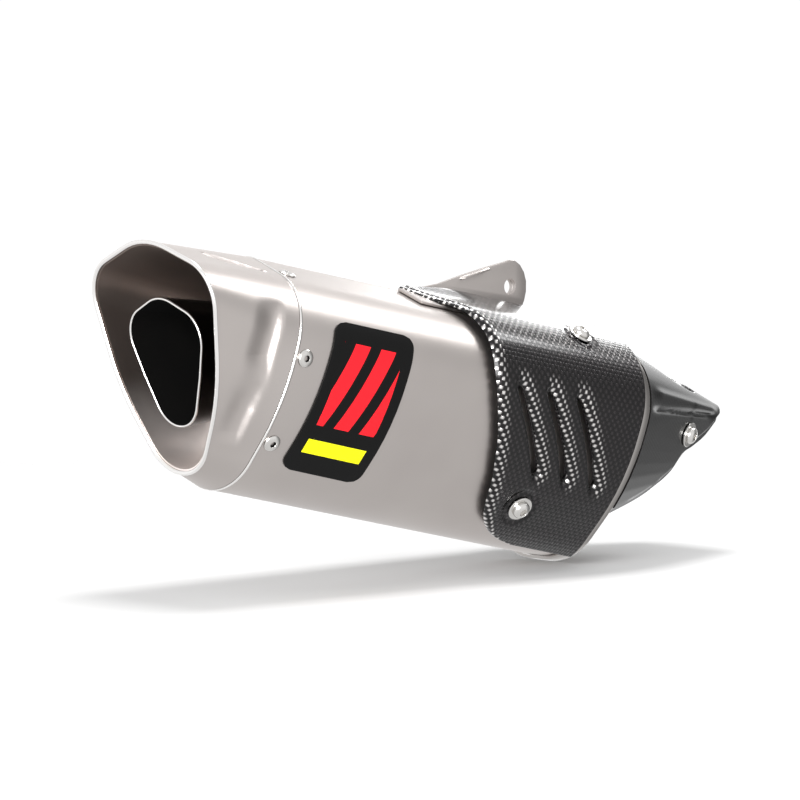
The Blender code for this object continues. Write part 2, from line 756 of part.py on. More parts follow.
def build_rivets(collection, frames):
    """Blind rivets: a low domed head with a hollow, and a shank through the wall."""
    profile = [(0.0, 0.0004), (0.0014, 0.0004), (0.0016, 0.0013), (0.0030, 0.0011), (RIVET_RADIUS, 0.0004),
               (RIVET_RADIUS, GAP / 2), (RIVET_SHANK, GAP / 2), (RIVET_SHANK, -0.0035), (0.0, -0.0035)]
    for label, places in frames.items():
        for i, frame in enumerate(places):
            turned(f"rivet_{label}_{i + 1}", profile, STEEL, collection, frame, 10)


def screw_profile(length):
    """A button head with a socket, its seat at z 0, and a shank of a given length."""
    top = SCREW_HEAD_HEIGHT
    socket = [(0.0, 0.4 * top), (0.0018, 0.4 * top), (0.0020, top)]
    dome = [(0.0034, 0.9 * top), (0.0047, 0.5 * top), (SCREW_HEAD, 0.15 * top), (SCREW_HEAD, 0.0)]
    return socket + dome + [(SCREW_SHANK, 0.0), (SCREW_SHANK, -length), (0.0, -length)]


def build_shield_screws(collection):
    """A screw, a washer and a stand-off boss at each fixing of the heat shield."""
    top = SHIELD_OFFSET + SHIELD_WALL + GAP
    for label, (x, share) in SHIELD_SCREWS.items():
        frame = skin_frame(x, share)
        bottom = 2 * GAP + (HANGER_BASE_WALL + GAP if label == "top" and share < HANGER_BASE_T else 0.0)
        washer = washer_profile(SCREW_SHANK + GAP, WASHER_RADIUS, top, top + WASHER_THICKNESS)
        turned(f"shield_washer_{label}", washer, STEEL, collection, frame, 20, True)
        seat = frame @ Matrix.Translation((0, 0, top + WASHER_THICKNESS + GAP))
        turned(f"shield_screw_{label}", screw_profile(SHIELD_OFFSET + 0.003), STEEL, collection, seat, 16)
        boss = washer_profile(SCREW_SHANK + GAP, BOSS_RADIUS, bottom, SHIELD_OFFSET - 4 * GAP)
        turned(f"shield_boss_{label}", boss, TITANIUM, collection, frame, 16, True)


def build_cover_screws(collection):
    """A screw, a washer and a nut on each side of the inlet cover."""
    for side, label in ((1, "outboard"), (-1, "inboard")):
        frame = cover_frame(side)
        washer = washer_profile(SCREW_SHANK + GAP, WASHER_RADIUS, 2 * GAP, 2 * GAP + WASHER_THICKNESS)
        turned(f"cover_washer_{label}", washer, STEEL, collection, frame, 20, True)
        seat = frame @ Matrix.Translation((0, 0, 3 * GAP + WASHER_THICKNESS))
        turned(f"cover_screw_{label}", screw_profile(0.0112), STEEL, collection, seat, 16)
        nut = washer_profile((SCREW_SHANK + GAP) / HEX_FLAT, 0.0055, -0.0083, -0.0049)
        turned(f"cover_nut_{label}", nut, STEEL, collection, frame, 6, True)


def build_clamp(collection):
    """The band clamp, its screw and its nut, each with its origin on its own axis."""
    axis = Matrix.Translation((CLAMP_X, 0, PIPE_Z)) @ Matrix.Rotation(CLAMP_TURN, 4, "X")
    inner, outer = PIPE_RADIUS + GAP, PIPE_RADIUS + GAP + CLAMP_WALL
    ear = CLAMP_GAP + EAR_WALL
    steps = 28

    def arc(radius, half_gap):
        hidden = math.asin(half_gap / radius)
        sweep = math.tau - 2 * hidden
        angles = [-math.pi / 2 + hidden + sweep * k / steps for k in range(steps + 1)]
        return [(radius * math.cos(a), radius * math.sin(a)) for a in angles]
    outline = [(CLAMP_GAP, -EAR_REACH)] + arc(inner, CLAMP_GAP)
    outline += [(-CLAMP_GAP, -EAR_REACH), (-ear, -EAR_REACH)] + arc(outer, ear)[::-1] + [(ear, -EAR_REACH)]
    work = bmesh.new()
    face = work.faces.new([work.verts.new((-CLAMP_WIDTH / 2, y, z)) for y, z in outline])
    made = bmesh.ops.extrude_face_region(work, geom=[face])
    lifted = [v for v in made["geom"] if isinstance(v, bmesh.types.BMVert)]
    bmesh.ops.translate(work, verts=lifted, vec=(CLAMP_WIDTH, 0, 0))
    bmesh.ops.recalc_face_normals(work, faces=work.faces)
    mesh = bpy.data.meshes.new("clamp_band")
    work.to_mesh(mesh)
    work.free()
    band = add_object("clamp_band", mesh, STEEL, collection)
    band.matrix_local = axis

    cross = axis @ Matrix.Translation((0, 0, -CLAMP_SCREW_REACH)) @ Matrix.Rotation(math.radians(90), 4, "X")
    cut(band, [round_cutter("clamp_drill", cross, CLAMP_SCREW_RADIUS + GAP, 0.03)])
    seat = ear + GAP
    head = [(0.0, seat + 0.0025), (0.0019, seat + 0.0025), (0.0021, seat + 0.005), (0.0042, seat + 0.005)]
    shank = [(CLAMP_SCREW_RADIUS, seat), (CLAMP_SCREW_RADIUS, -seat - 0.0055), (0.0, -seat - 0.0055)]
    profile = head + [(0.0042, seat)] + shank
    turned("clamp_screw", profile, STEEL, collection, cross, 16)
    nut = washer_profile((CLAMP_SCREW_RADIUS + GAP) / HEX_FLAT, 0.0046, -seat - 0.004, -seat)
    turned("clamp_nut", nut, STEEL, collection, cross, 6, True)


def rivet_places():
    """The frames of the rivets at each end of the sleeve."""
    return {label: [skin_frame(x, share, side) for side in (1, -1) for share in RIVET_T]
            for label, x in zip(("outlet", "inlet"), RIVET_X)}


clear_scene()
silencer = new_collection(COLLECTION)
cutters = new_collection("cutters")
can = bpy.data.objects.new("can_axis", None)
silencer.objects.link(can)
tip = Matrix.Rotation(PITCH, 4, "Y")
hole = Vector((TAB_HOLE[0], (TAB_Y[0] + TAB_Y[1]) / 2, TAB_HOLE[1]))
can.matrix_world = Matrix.Translation(-(tip @ hole)) @ tip

places = rivet_places()
drills = {label: [round_cutter(f"rivet_drill_{label}_{i}", frame, RIVET_SHANK + GAP, 0.008, 10)
                  for i, frame in enumerate(frames)] for label, frames in places.items()}
shield_drills = [round_cutter(f"shield_drill_{label}", skin_frame(x, share), SCREW_SHANK + GAP, 0.03)
                 for label, (x, share) in SHIELD_SCREWS.items()]

build_sleeve(silencer, drills)
build_end_ring(silencer)
build_end_cap(silencer, drills)
build_funnel(silencer)
build_outlet_tip(silencer)
build_bulkheads(silencer, drills)
build_core(silencer)
build_inlet_pipe(silencer)
build_heat_shield(silencer, shield_drills)
build_inlet_cover(silencer)
build_cover_arms(silencer)
build_hanger(silencer, shield_drills[:1])
build_badge(silencer)
build_rivets(silencer, places)
build_shield_screws(silencer)
build_cover_screws(silencer)
build_clamp(silencer)
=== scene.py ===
"""Looks of a motorcycle's slip-on silencer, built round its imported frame.

Every piece is drawn in the can's own frame, where x runs along the can from the joint
of end cap and sleeve to the inlet, -y is outboard and z is up, and is then turned to the
installed attitude with the hanger's hole at the origin. Lengths are in millimetres until
a point is placed.
"""

import logging
import math
from dataclasses import dataclass, field
from enum import Enum
from typing import Callable, Sequence

import bmesh
import bpy
from mathutils import Matrix, Vector


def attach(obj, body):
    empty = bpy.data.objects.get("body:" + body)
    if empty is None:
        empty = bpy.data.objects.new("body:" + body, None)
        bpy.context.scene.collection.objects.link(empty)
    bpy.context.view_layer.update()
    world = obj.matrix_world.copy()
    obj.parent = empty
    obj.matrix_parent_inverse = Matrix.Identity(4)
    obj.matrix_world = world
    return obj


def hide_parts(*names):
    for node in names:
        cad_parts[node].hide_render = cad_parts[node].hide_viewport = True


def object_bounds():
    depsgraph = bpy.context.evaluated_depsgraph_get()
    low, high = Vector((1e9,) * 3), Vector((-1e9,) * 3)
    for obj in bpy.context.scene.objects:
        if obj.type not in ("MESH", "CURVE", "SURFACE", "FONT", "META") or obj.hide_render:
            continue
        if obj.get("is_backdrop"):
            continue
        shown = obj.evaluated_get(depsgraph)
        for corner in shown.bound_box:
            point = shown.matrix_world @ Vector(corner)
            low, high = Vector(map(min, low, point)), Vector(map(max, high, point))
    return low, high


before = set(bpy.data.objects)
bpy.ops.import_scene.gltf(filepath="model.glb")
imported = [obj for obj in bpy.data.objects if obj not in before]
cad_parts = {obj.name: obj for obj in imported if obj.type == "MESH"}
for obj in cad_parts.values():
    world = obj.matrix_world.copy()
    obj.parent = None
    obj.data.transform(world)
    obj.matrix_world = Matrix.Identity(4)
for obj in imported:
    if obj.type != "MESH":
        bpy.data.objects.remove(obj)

LOG = logging.getLogger("silencer")
MM = 0.001
PITCH = math.radians(11.84)
HANGER_HOLE = Vector((194.5, 1.75, 85.2)) * MM
TIP_UP = Matrix.Rotation(PITCH, 4, "Y")
CAN_TO_ROW = Matrix.Translation(-(TIP_UP @ HANGER_HOLE)) @ TIP_UP
SLEEVE_LENGTH = 252.0
BODY = "silencer"
MATH = "ShaderNodeMath"
MIX = "ShaderNodeMix"
# Input and output sockets of a Mix node: its two colours, its two numbers, its mixed colour.
COLOUR_A, COLOUR_B, NUMBER_A, NUMBER_B, MIXED_COLOUR = 6, 7, 2, 3, 2
# A roll stops short of a quarter turn, so that its last row of faces doesn't stand upright.
ROLL_REACH = 0.94

Ring = list[Vector]
Steps = tuple[tuple[float, float], ...]
Node = bpy.types.Node
Piece = bpy.types.Object


class Ends(Enum):
    """How a loft ends: open, filled at both ends, or joined last ring to first."""

    OPEN = "open"
    FILLED = "filled"
    JOINED = "joined"


class Side(Enum):
    """A side of the can, with the sign that turns outboard y into that side's y."""

    OUTBOARD = -1
    INBOARD = 1


# ------------------------------------------------------------------ finishes


def linear(hex_code: str, alpha: float = 1.0) -> tuple[float, float, float, float]:
    """Turn an sRGB hex colour into linear light.

    Args:
        hex_code: six hex digits, without a hash sign.
        alpha: the fourth value.

    Returns:
        Linear red, green, blue and alpha.
    """
    parts = [int(hex_code[i:i + 2], 16) / 255 for i in (0, 2, 4)]
    light = [c / 12.92 if c <= 0.04045 else ((c + 0.055) / 1.055) ** 2.4 for c in parts]
    return light[0], light[1], light[2], alpha


def add_node(tree: bpy.types.NodeTree, kind: str, settings: dict | None = None,
             links: dict | None = None) -> Node:
    """Add a node with its settings, its socket values and its incoming links.

    Args:
        tree: the node tree.
        kind: the node's type name.
        settings: attributes of the node.
        links: socket name or index to a value, a node, or a node with an output's name.

    Returns:
        The new node.
    """
    node = tree.nodes.new(kind)
    for key, value in (settings or {}).items():
        setattr(node, key, value)
    for key, source in (links or {}).items():
        socket = node.inputs[key]
        if isinstance(source, Node):
            tree.links.new(source.outputs[0], socket)
        elif isinstance(source, tuple) and isinstance(source[0], Node):
            tree.links.new(source[0].outputs[source[1]], socket)
        else:
            socket.default_value = source
    return node


def new_material(name: str) -> tuple[bpy.types.Material, bpy.types.NodeTree, Node]:
    """Make a material with its node tree.

    Args:
        name: the material's name.

    Returns:
        The material, its tree and its Principled shader.
    """
    made = bpy.data.materials.new(name)
    made.use_nodes = True
    return made, made.node_tree, made.node_tree.nodes["Principled BSDF"]


def connect(tree: bpy.types.NodeTree, source: Node, output: str | int, target: Node,
            socket: str | int) -> None:
    """Link one node's output to another's socket."""
    tree.links.new(source.outputs[output], target.inputs[socket])


@dataclass(frozen=True)
class BlastedTitanium:
    """Rolled titanium sheet, glass-blasted: a warm grey with soft, wide reflections.

    The grain is finer than shows at arm's length, so it is drawn at about a millimetre.
    """

    name: str = "blasted_titanium"
    colour: str = "C6C0BC"
    dark: str = "BAB3B0"
    roughness: float = 0.38
    grain_mm: float = 0.9
    cloud_mm: float = 45.0
    spread: float = 0.05
    bump: float = 0.03
    bump_mm: float = 0.1

    def material(self) -> bpy.types.Material:
        """Build the material.

        Returns:
            The material.
        """
        made, tree, shader = new_material(self.name)
        place = add_node(tree, "ShaderNodeTexCoord")
        grain = add_node(tree, "ShaderNodeTexNoise", None, {
            "Vector": (place, "Object"), "Scale": 1 / (self.grain_mm * MM), "Detail": 3.0})
        cloud = add_node(tree, "ShaderNodeTexNoise", None, {
            "Vector": (place, "Object"), "Scale": 1 / (self.cloud_mm * MM), "Detail": 2.0})
        tint = add_node(tree, MIX, {"data_type": "RGBA"}, {
            "Factor": (cloud, "Fac"), COLOUR_A: linear(self.colour), COLOUR_B: linear(self.dark)})
        rough = add_node(tree, "ShaderNodeMapRange", None, {
            "Value": (grain, "Fac"), "To Min": self.roughness - self.spread,
            "To Max": self.roughness + self.spread})
        bump = add_node(tree, "ShaderNodeBump", None, {
            "Strength": self.bump, "Distance": self.bump_mm * MM, "Height": (grain, "Fac")})
        shader.inputs["Metallic"].default_value = 1.0
        connect(tree, tint, MIXED_COLOUR, shader, "Base Color")
        connect(tree, rough, 0, shader, "Roughness")
        connect(tree, bump, 0, shader, "Normal")
        return made


@dataclass(frozen=True)
class PaintedShadeTitanium:
    """Spun titanium round the outlet, with painted shade on its upper part and painted light on its foot.

    The change lies between two heights of the object, and clouds blur it.
    """

    name: str = "dish_painted_shade"
    # Painted light for the foot and painted shade for the upper part.
    bright: str = "FFF7F3"
    painted_shade: str = "7D726C"
    heights: tuple[float, float] = (-0.078, -0.036)
    cloud_mm: float = 22.0
    wander: float = 0.012
    roughness: float = 0.5

    def material(self) -> bpy.types.Material:
        """Build the material.

        Returns:
            The material.
        """
        made, tree, shader = new_material(self.name)
        place = add_node(tree, "ShaderNodeTexCoord")
        axes = add_node(tree, "ShaderNodeSeparateXYZ", None, {0: (place, "Object")})
        cloud = add_node(tree, "ShaderNodeTexNoise", None, {
            "Vector": (place, "Object"), "Scale": 1 / (self.cloud_mm * MM), "Detail": 2.0})
        # Painted shade: darker towards the top of the object, lighter towards the bottom.
        height = add_node(tree, MATH, {"operation": "MULTIPLY_ADD"}, {
            0: (cloud, "Fac"), 1: self.wander, 2: (axes, "Z")})
        shade_share = add_node(tree, "ShaderNodeMapRange", {"interpolation_type": "SMOOTHSTEP"}, {
            "Value": height, "From Min": self.heights[0], "From Max": self.heights[1]})
        tint = add_node(tree, MIX, {"data_type": "RGBA"}, {
            "Factor": shade_share, COLOUR_A: linear(self.bright), COLOUR_B: linear(self.painted_shade)})
        shader.inputs["Metallic"].default_value = 1.0
        shader.inputs["Roughness"].default_value = self.roughness
        connect(tree, tint, MIXED_COLOUR, shader, "Base Color")
        return made


@dataclass(frozen=True)
class PolishedMetal:
    """Polished metal: bright, with fine rubbing marks that break the reflections."""

    name: str = "polished_titanium"
    colour: str = "F4F2F0"
    roughness: float = 0.15
    mark_mm: float = 0.7
    spread: tuple[float, float] = (-0.05, 0.07)
    bump: float = 0.04
    bump_mm: float = 0.05

    def material(self) -> bpy.types.Material:
        """Build the material.

        Returns:
            The material.
        """
        made, tree, shader = new_material(self.name)
        place = add_node(tree, "ShaderNodeTexCoord")
        marks = add_node(tree, "ShaderNodeTexNoise", None, {
            "Vector": (place, "Object"), "Scale": 1 / (self.mark_mm * MM), "Detail": 4.0})
        rough = add_node(tree, "ShaderNodeMapRange", None, {
            "Value": (marks, "Fac"), "To Min": self.roughness + self.spread[0],
            "To Max": self.roughness + self.spread[1]})
        bump = add_node(tree, "ShaderNodeBump", None, {
            "Strength": self.bump, "Distance": self.bump_mm * MM, "Height": (marks, "Fac")})
        shader.inputs["Base Color"].default_value = linear(self.colour)
        shader.inputs["Metallic"].default_value = 1.0
        connect(tree, rough, 0, shader, "Roughness")
        connect(tree, bump, 0, shader, "Normal")
        return made


@dataclass(frozen=True)
class SootAndShadeBlack:
    """A dull black with uneven brown-grey patches: soot inside the tailpipe, and painted shade there and in
    the rivets' bores.
    """

    name: str = "soot_and_painted_shade"
    colour: str = "030303"
    patch: str = "080706"
    roughness: float = 0.85
    specular: float = 0.1
    patch_mm: float = 14.0

    def material(self) -> bpy.types.Material:
        """Build the material.

        Returns:
            The material.
        """
        made, tree, shader = new_material(self.name)
        place = add_node(tree, "ShaderNodeTexCoord")
        patches = add_node(tree, "ShaderNodeTexNoise", None, {
            "Vector": (place, "Object"), "Scale": 1 / (self.patch_mm * MM), "Detail": 5.0})
        tint = add_node(tree, MIX, {"data_type": "RGBA"}, {
            "Factor": (patches, "Fac"), COLOUR_A: linear(self.colour), COLOUR_B: linear(self.patch)})
        shader.inputs["Roughness"].default_value = self.roughness
        shader.inputs["Specular IOR Level"].default_value = self.specular
        connect(tree, tint, MIXED_COLOUR, shader, "Base Color")
        return made


@dataclass(frozen=True)
class CarbonWeave:
    """Plain-woven carbon cloth under lacquer: the tows' crowns throw back staggered glints.

    Each cell of the cloth is one tow wide. Its glints are painted into the base colour: in every
    second cell the tow on top is painted light, as if it lay across the light and shone, and in
    the others it stays nearly black. Where the piece's glint attribute is high the crowns are
    painted far brighter, a painted highlight on the rolled edges and the upper shoulder.
    The piece's UV map gives the place on the cloth in metres.
    """

    name: str = "carbon_satin_lacquer"
    tow_mm: float = 2.15
    # Painted glint: the crowns' colour on the flats and, far brighter, on the bends; the valley is the
    # cloth's black.
    crown_glint: str = "3C3839"
    bright_crown_glint: str = "E6E2E0"
    valley: str = "0D0B0C"
    roughness: float = 0.24
    coat: float = 0.7
    coat_roughness: float = 0.16
    bump: float = 0.75
    bump_mm: float = 0.3
    round_power: float = 2.0
    flat_power: float = 3.0
    crest_power: float = 1.6

    def material(self) -> bpy.types.Material:
        """Build the material.

        Returns:
            The material.
        """
        made, tree, shader = new_material(self.name)
        place = add_node(tree, "ShaderNodeTexCoord")
        tows = 1 / (self.tow_mm * MM)
        cloth = add_node(tree, "ShaderNodeMapping", None, {
            "Vector": (place, "UV"), "Scale": (tows, tows, 1.0)})
        axes = add_node(tree, "ShaderNodeSeparateXYZ", None, {0: cloth})
        cells, rises = {}, {}
        for axis in ("X", "Y"):
            cells[axis] = add_node(tree, MATH, {"operation": "FLOOR"}, {0: (axes, axis)})
            middle = add_node(tree, MATH, {"operation": "PINGPONG"}, {0: (axes, axis), 1: 0.5})
            edge = add_node(tree, MATH, {"operation": "MULTIPLY_ADD"}, {0: middle, 1: -2.0, 2: 1.0})
            for power in (self.round_power, self.flat_power):
                fall = add_node(tree, MATH, {"operation": "POWER"}, {0: edge, 1: power})
                rises[axis, power] = add_node(tree, MATH, {"operation": "SUBTRACT"}, {0: 1.0, 1: fall})
        cell = add_node(tree, MATH, {"operation": "ADD"}, {0: cells["X"], 1: cells["Y"]})
        turn = add_node(tree, MATH, {"operation": "PINGPONG"}, {0: cell, 1: 1.0})
        across = add_node(tree, MATH, {"operation": "MULTIPLY"}, {
            0: rises["X", self.round_power], 1: rises["Y", self.flat_power]})
        along = add_node(tree, MATH, {"operation": "MULTIPLY"}, {
            0: rises["X", self.flat_power], 1: rises["Y", self.round_power]})
        height = add_node(tree, MIX, {"data_type": "FLOAT"}, {
            "Factor": turn, NUMBER_A: across, NUMBER_B: along})
        # Painted highlight: the crowns of every second cell take a light base colour.
        crest = add_node(tree, MATH, {"operation": "POWER"}, {0: across, 1: self.crest_power})
        lit = add_node(tree, MATH, {"operation": "SUBTRACT"}, {0: 1.0, 1: turn})
        shine = add_node(tree, MATH, {"operation": "MULTIPLY"}, {0: crest, 1: lit})
        # Painted highlight: the piece's glint attribute brightens the painted crowns.
        glint_paint = add_node(tree, "ShaderNodeAttribute", {"attribute_name": "glint_paint"})
        crown_glint = add_node(tree, MIX, {"data_type": "RGBA"}, {
            "Factor": (glint_paint, "Fac"), COLOUR_A: linear(self.crown_glint), COLOUR_B: linear(self.bright_crown_glint)})
        tint = add_node(tree, MIX, {"data_type": "RGBA"}, {
            "Factor": shine, COLOUR_A: linear(self.valley), COLOUR_B: (crown_glint, MIXED_COLOUR)})
        bump = add_node(tree, "ShaderNodeBump", None, {
            "Strength": self.bump, "Distance": self.bump_mm * MM, "Height": height})
        shader.inputs["Metallic"].default_value = 1.0
        shader.inputs["Roughness"].default_value = self.roughness
        shader.inputs["Coat Weight"].default_value = self.coat
        shader.inputs["Coat Roughness"].default_value = self.coat_roughness
        connect(tree, tint, MIXED_COLOUR, shader, "Base Color")
        connect(tree, bump, 0, shader, "Normal")
        return made


@dataclass(frozen=True)
class PrintedPlate:
    """A black printed plate with slanted red bars and a yellow bar under a clear film.

    The bars are plain stripes. They are placed by the plate's own UV map.
    """

    name: str = "printed_plate"
    black: str = "0C0C0C"
    red: str = "EC1D27"
    yellow: str = "E9E614"
    roughness: float = 0.32
    specular: float = 0.12
    slant: float = 0.45
    stripes: float = 3.1
    stripe_share: float = 0.58
    print_wide: tuple[float, float] = (0.13, 0.87)
    bars_high: tuple[float, float] = (0.12, 0.66)
    band_high: tuple[float, float] = (0.76, 0.86)

    def material(self) -> bpy.types.Material:
        """Build the material.

        Returns:
            The material.
        """
        made, tree, shader = new_material(self.name)
        place = add_node(tree, "ShaderNodeTexCoord")
        axes = add_node(tree, "ShaderNodeSeparateXYZ", None, {0: (place, "UV")})
        slanted = add_node(tree, MATH, {"operation": "MULTIPLY_ADD"}, {
            0: (axes, "Y"), 1: self.slant, 2: (axes, "X")})
        counted = add_node(tree, MATH, {"operation": "MULTIPLY"}, {0: slanted, 1: self.stripes})
        share = add_node(tree, MATH, {"operation": "FRACT"}, {0: counted})
        stripe = add_node(tree, MATH, {"operation": "LESS_THAN"}, {0: share, 1: self.stripe_share})
        inside = {}
        for label, axis, (low, high) in (("wide", "X", self.print_wide), ("bars", "Y", self.bars_high),
                                         ("band", "Y", self.band_high)):
            inside[label] = add_node(tree, MATH, {"operation": "COMPARE"}, {
                0: (axes, axis), 1: (low + high) / 2, 2: (high - low) / 2})
        bars = add_node(tree, MATH, {"operation": "MULTIPLY"}, {0: inside["wide"], 1: inside["bars"]})
        red = add_node(tree, MATH, {"operation": "MULTIPLY"}, {0: bars, 1: stripe})
        yellow = add_node(tree, MATH, {"operation": "MULTIPLY"}, {0: inside["wide"], 1: inside["band"]})
        first = add_node(tree, MIX, {"data_type": "RGBA"}, {
            "Factor": red, COLOUR_A: linear(self.black), COLOUR_B: linear(self.red)})
        both = add_node(tree, MIX, {"data_type": "RGBA"}, {
            "Factor": yellow, COLOUR_A: (first, MIXED_COLOUR), COLOUR_B: linear(self.yellow)})
        shader.inputs["Roughness"].default_value = self.roughness
        shader.inputs["Specular IOR Level"].default_value = self.specular
        connect(tree, both, MIXED_COLOUR, shader, "Base Color")
        return made


@dataclass(frozen=True)
class GlassWool:
    """Loose glass wool: matt straw-yellow fibres, seen only through the core's holes."""

    name: str = "glass_wool"
    colour: str = "CDBF8F"
    dark: str = "A79A6E"
    fibre_mm: float = 2.0
    distortion: float = 2.0
    roughness: float = 0.9
    bump: float = 0.8
    bump_mm: float = 1.0

    def material(self) -> bpy.types.Material:
        """Build the material.

        Returns:
            The material.
        """
        made, tree, shader = new_material(self.name)
        place = add_node(tree, "ShaderNodeTexCoord")
        fibres = add_node(tree, "ShaderNodeTexNoise", None, {
            "Vector": (place, "Object"), "Scale": 1 / (self.fibre_mm * MM), "Detail": 6.0,
            "Distortion": self.distortion})
        bump = add_node(tree, "ShaderNodeBump", None, {
            "Strength": self.bump, "Distance": self.bump_mm * MM, "Height": (fibres, "Fac")})
        tint = add_node(tree, MIX, {"data_type": "RGBA"}, {
            "Factor": (fibres, "Fac"), COLOUR_A: linear(self.dark), COLOUR_B: linear(self.colour)})
        shader.inputs["Roughness"].default_value = self.roughness
        connect(tree, tint, MIXED_COLOUR, shader, "Base Color")
        connect(tree, bump, 0, shader, "Normal")
        return made


# ------------------------------------------------------------------ can form


@dataclass(frozen=True)
class Corner:
    """One corner of half an outline: half width, height and radius in mm."""

    wide: float
    high: float
    radius: float


def rounded(corners: Sequence[Corner], steps: Sequence[int] = (8, 14, 6, 10), flats: int = 14) -> Ring:
    """Round the corners of a mirrored outline.

    Args:
        corners: ridge, shoulder, middle and bottom of the outboard half.
        steps: how many stretches each corner's arc has.
        flats: how many stretches each straight side has.

    Returns:
        The closed outline as (y, z) points in mm, from the ridge, outboard first.
    """
    near = list(zip(corners, steps))
    ring = near + [(Corner(-c.wide, c.high, c.radius), n) for c, n in reversed(near[1:])]
    arcs = []
    for i, (corner, count) in enumerate(ring):
        here = Vector((-corner.wide, corner.high))
        before, after = (Vector((-c.wide, c.high)) for c in (ring[i - 1][0], ring[(i + 1) % len(ring)][0]))
        back, ahead = before - here, after - here
        half = back.angle(ahead) / 2
        reach = min(corner.radius / math.tan(half), 0.49 * back.length, 0.49 * ahead.length)
        radius = reach * math.tan(half)
        middle = here + (back.normalized() + ahead.normalized()).normalized() * radius / math.sin(half)
        start = here + back.normalized() * reach - middle
        turn = 1 if back.x * ahead.y - back.y * ahead.x < 0 else -1
        sweep = turn * (math.pi - 2 * half)
        arcs.append([middle + Matrix.Rotation(sweep * k / count, 2) @ start for k in range(count + 1)])
    points = []
    for i, arc in enumerate(arcs):
        following = arcs[(i + 1) % len(arcs)][0]
        points += arc + [arc[-1].lerp(following, k / flats) for k in range(1, flats)]
    first = steps[0] // 2
    return points[first:] + points[:first]


def normals_of(loop: Ring) -> Ring:
    """Find the outward normals of an outline.

    Args:
        loop: a closed outline of (y, z) points.

    Returns:
        One unit normal for each point.
    """
    found = []
    for i, here in enumerate(loop):
        chord = loop[(i + 1) % len(loop)] - loop[i - 1]
        out = Vector((-chord.y, chord.x)).normalized()
        found.append(out if out.dot(here) > 0 else -out)
    return found


@dataclass
class CanForm:
    """The can's outer form: straight lines between its outlet and its inlet outline."""

    joint: tuple[Corner, ...] = (
        Corner(0, 64, 25), Corner(58, 43.5, 37), Corner(50, -14.5, 115), Corner(20, -63.5, 35))
    width_growth: float = 0.19
    top_growth: float = 0.12
    bottom_growth: float = 0.02
    loops: list[Ring] = field(init=False)
    outs: list[Ring] = field(init=False)
    lengths: list[float] = field(init=False)

    def __post_init__(self) -> None:
        """Work out both end outlines and the lengths along the middle one."""
        grown = [Corner(c.wide * (1 + self.width_growth),
                        c.high * (1 + (self.top_growth if c.high > 0 else self.bottom_growth)), c.radius)
                 for c in self.joint]
        self.loops = [rounded(self.joint), rounded(grown)]
        self.outs = [normals_of(loop) for loop in self.loops]
        half = self.count // 2
        middle = [self.point(SLEEVE_LENGTH / 2, k) for k in range(half + 1)]
        steps = [(b - a).length for a, b in zip(middle, middle[1:])]
        self.lengths = [sum(steps[:k]) for k in range(half + 1)]

    @property
    def count(self) -> int:
        """How many points go round the can."""
        return len(self.loops[0])

    def point(self, x: float, place: float, offset: float = 0.0, side: Side = Side.OUTBOARD) -> Vector:
        """A point on the skin.

        Args:
            x: distance from the joint in mm.
            place: corner count round the outline from the ridge, in whole or part steps.
            offset: distance out from the skin in mm.
            side: the side of the can.

        Returns:
            The point in mm in the can's frame.
        """
        whole = math.floor(place)
        part, share = place - whole, x / SLEEVE_LENGTH
        a, b = whole % self.count, (whole + 1) % self.count
        here = [loop[a].lerp(loop[b], part) for loop in self.loops]
        out = [loop[a].lerp(loop[b], part) for loop in self.outs]
        spot = here[0].lerp(here[1], share) + out[0].lerp(out[1], share).normalized() * offset
        return Vector((x, -spot.x * side.value, spot.y))

    def ring(self, x: float, offset: float = 0.0) -> Ring:
        """The whole outline at x, moved out by offset."""
        return [self.point(x, k, offset) for k in range(self.count)]

    def place(self, run: float) -> float:
        """Find the place that lies a run down from the ridge, at mid sleeve.

        Args:
            run: the length along the skin in mm.

        Returns:
            The place, counted from the ridge.
        """
        for k, (a, b) in enumerate(zip(self.lengths, self.lengths[1:])):
            if run <= b:
                return k + (run - a) / (b - a)
        return float(len(self.lengths) - 1)

    def seat(self, x: float, place: float, offset: float, side: Side = Side.OUTBOARD) -> Matrix:
        """Set up a frame on the skin.

        Args:
            x: distance from the joint in mm.
            place: place round the outline, counted from the ridge.
            offset: distance out from the skin in mm.
            side: the side of the can.

        Returns:
            The frame, in metres, its z axis pointing out of the can.
        """
        here = self.point(x, place, offset, side)
        out = (self.point(x, place, offset + 1, side) - here).normalized()
        lengthwise = (self.point(x + 1, place, offset, side) - here).normalized()
        across = out.cross(lengthwise).normalized()
        axes = Matrix((across.cross(out), across, out)).transposed().to_4x4()
        return Matrix.Translation(here * MM) @ axes


CAN = CanForm()


def smooth_between(points: Sequence[tuple[float, float]], at: float) -> float:
    """Read a smooth curve through points.

    Args:
        points: (position, value) pairs in rising order.
        at: the position.

    Returns:
        The value there, or the nearest end's value outside the points.
    """
    if at <= points[0][0]:
        return points[0][1]
    for i in range(len(points) - 1):
        (x0, y0), (x1, y1) = points[i], points[i + 1]
        if at <= x1:
            before, after = points[max(i - 1, 0)], points[min(i + 2, len(points) - 1)]
            span, share = x1 - x0, (at - x0) / (x1 - x0)
            slope0 = (y1 - before[1]) / (x1 - before[0]) * span
            slope1 = (after[1] - y0) / (after[0] - x0) * span
            cubed, squared = share ** 3, share ** 2
            return ((2 * cubed - 3 * squared + 1) * y0 + (cubed - 2 * squared + share) * slope0
                    + (3 * squared - 2 * cubed) * y1 + (cubed - squared) * slope1)
    return points[-1][1]


def ease(low: float, high: float, at: float) -> float:
    """Rise smoothly from 0 at low to 1 at high."""
    share = min(max((at - low) / (high - low), 0.0), 1.0)
    return share * share * (3 - 2 * share)


# ------------------------------------------------------------------ bench work


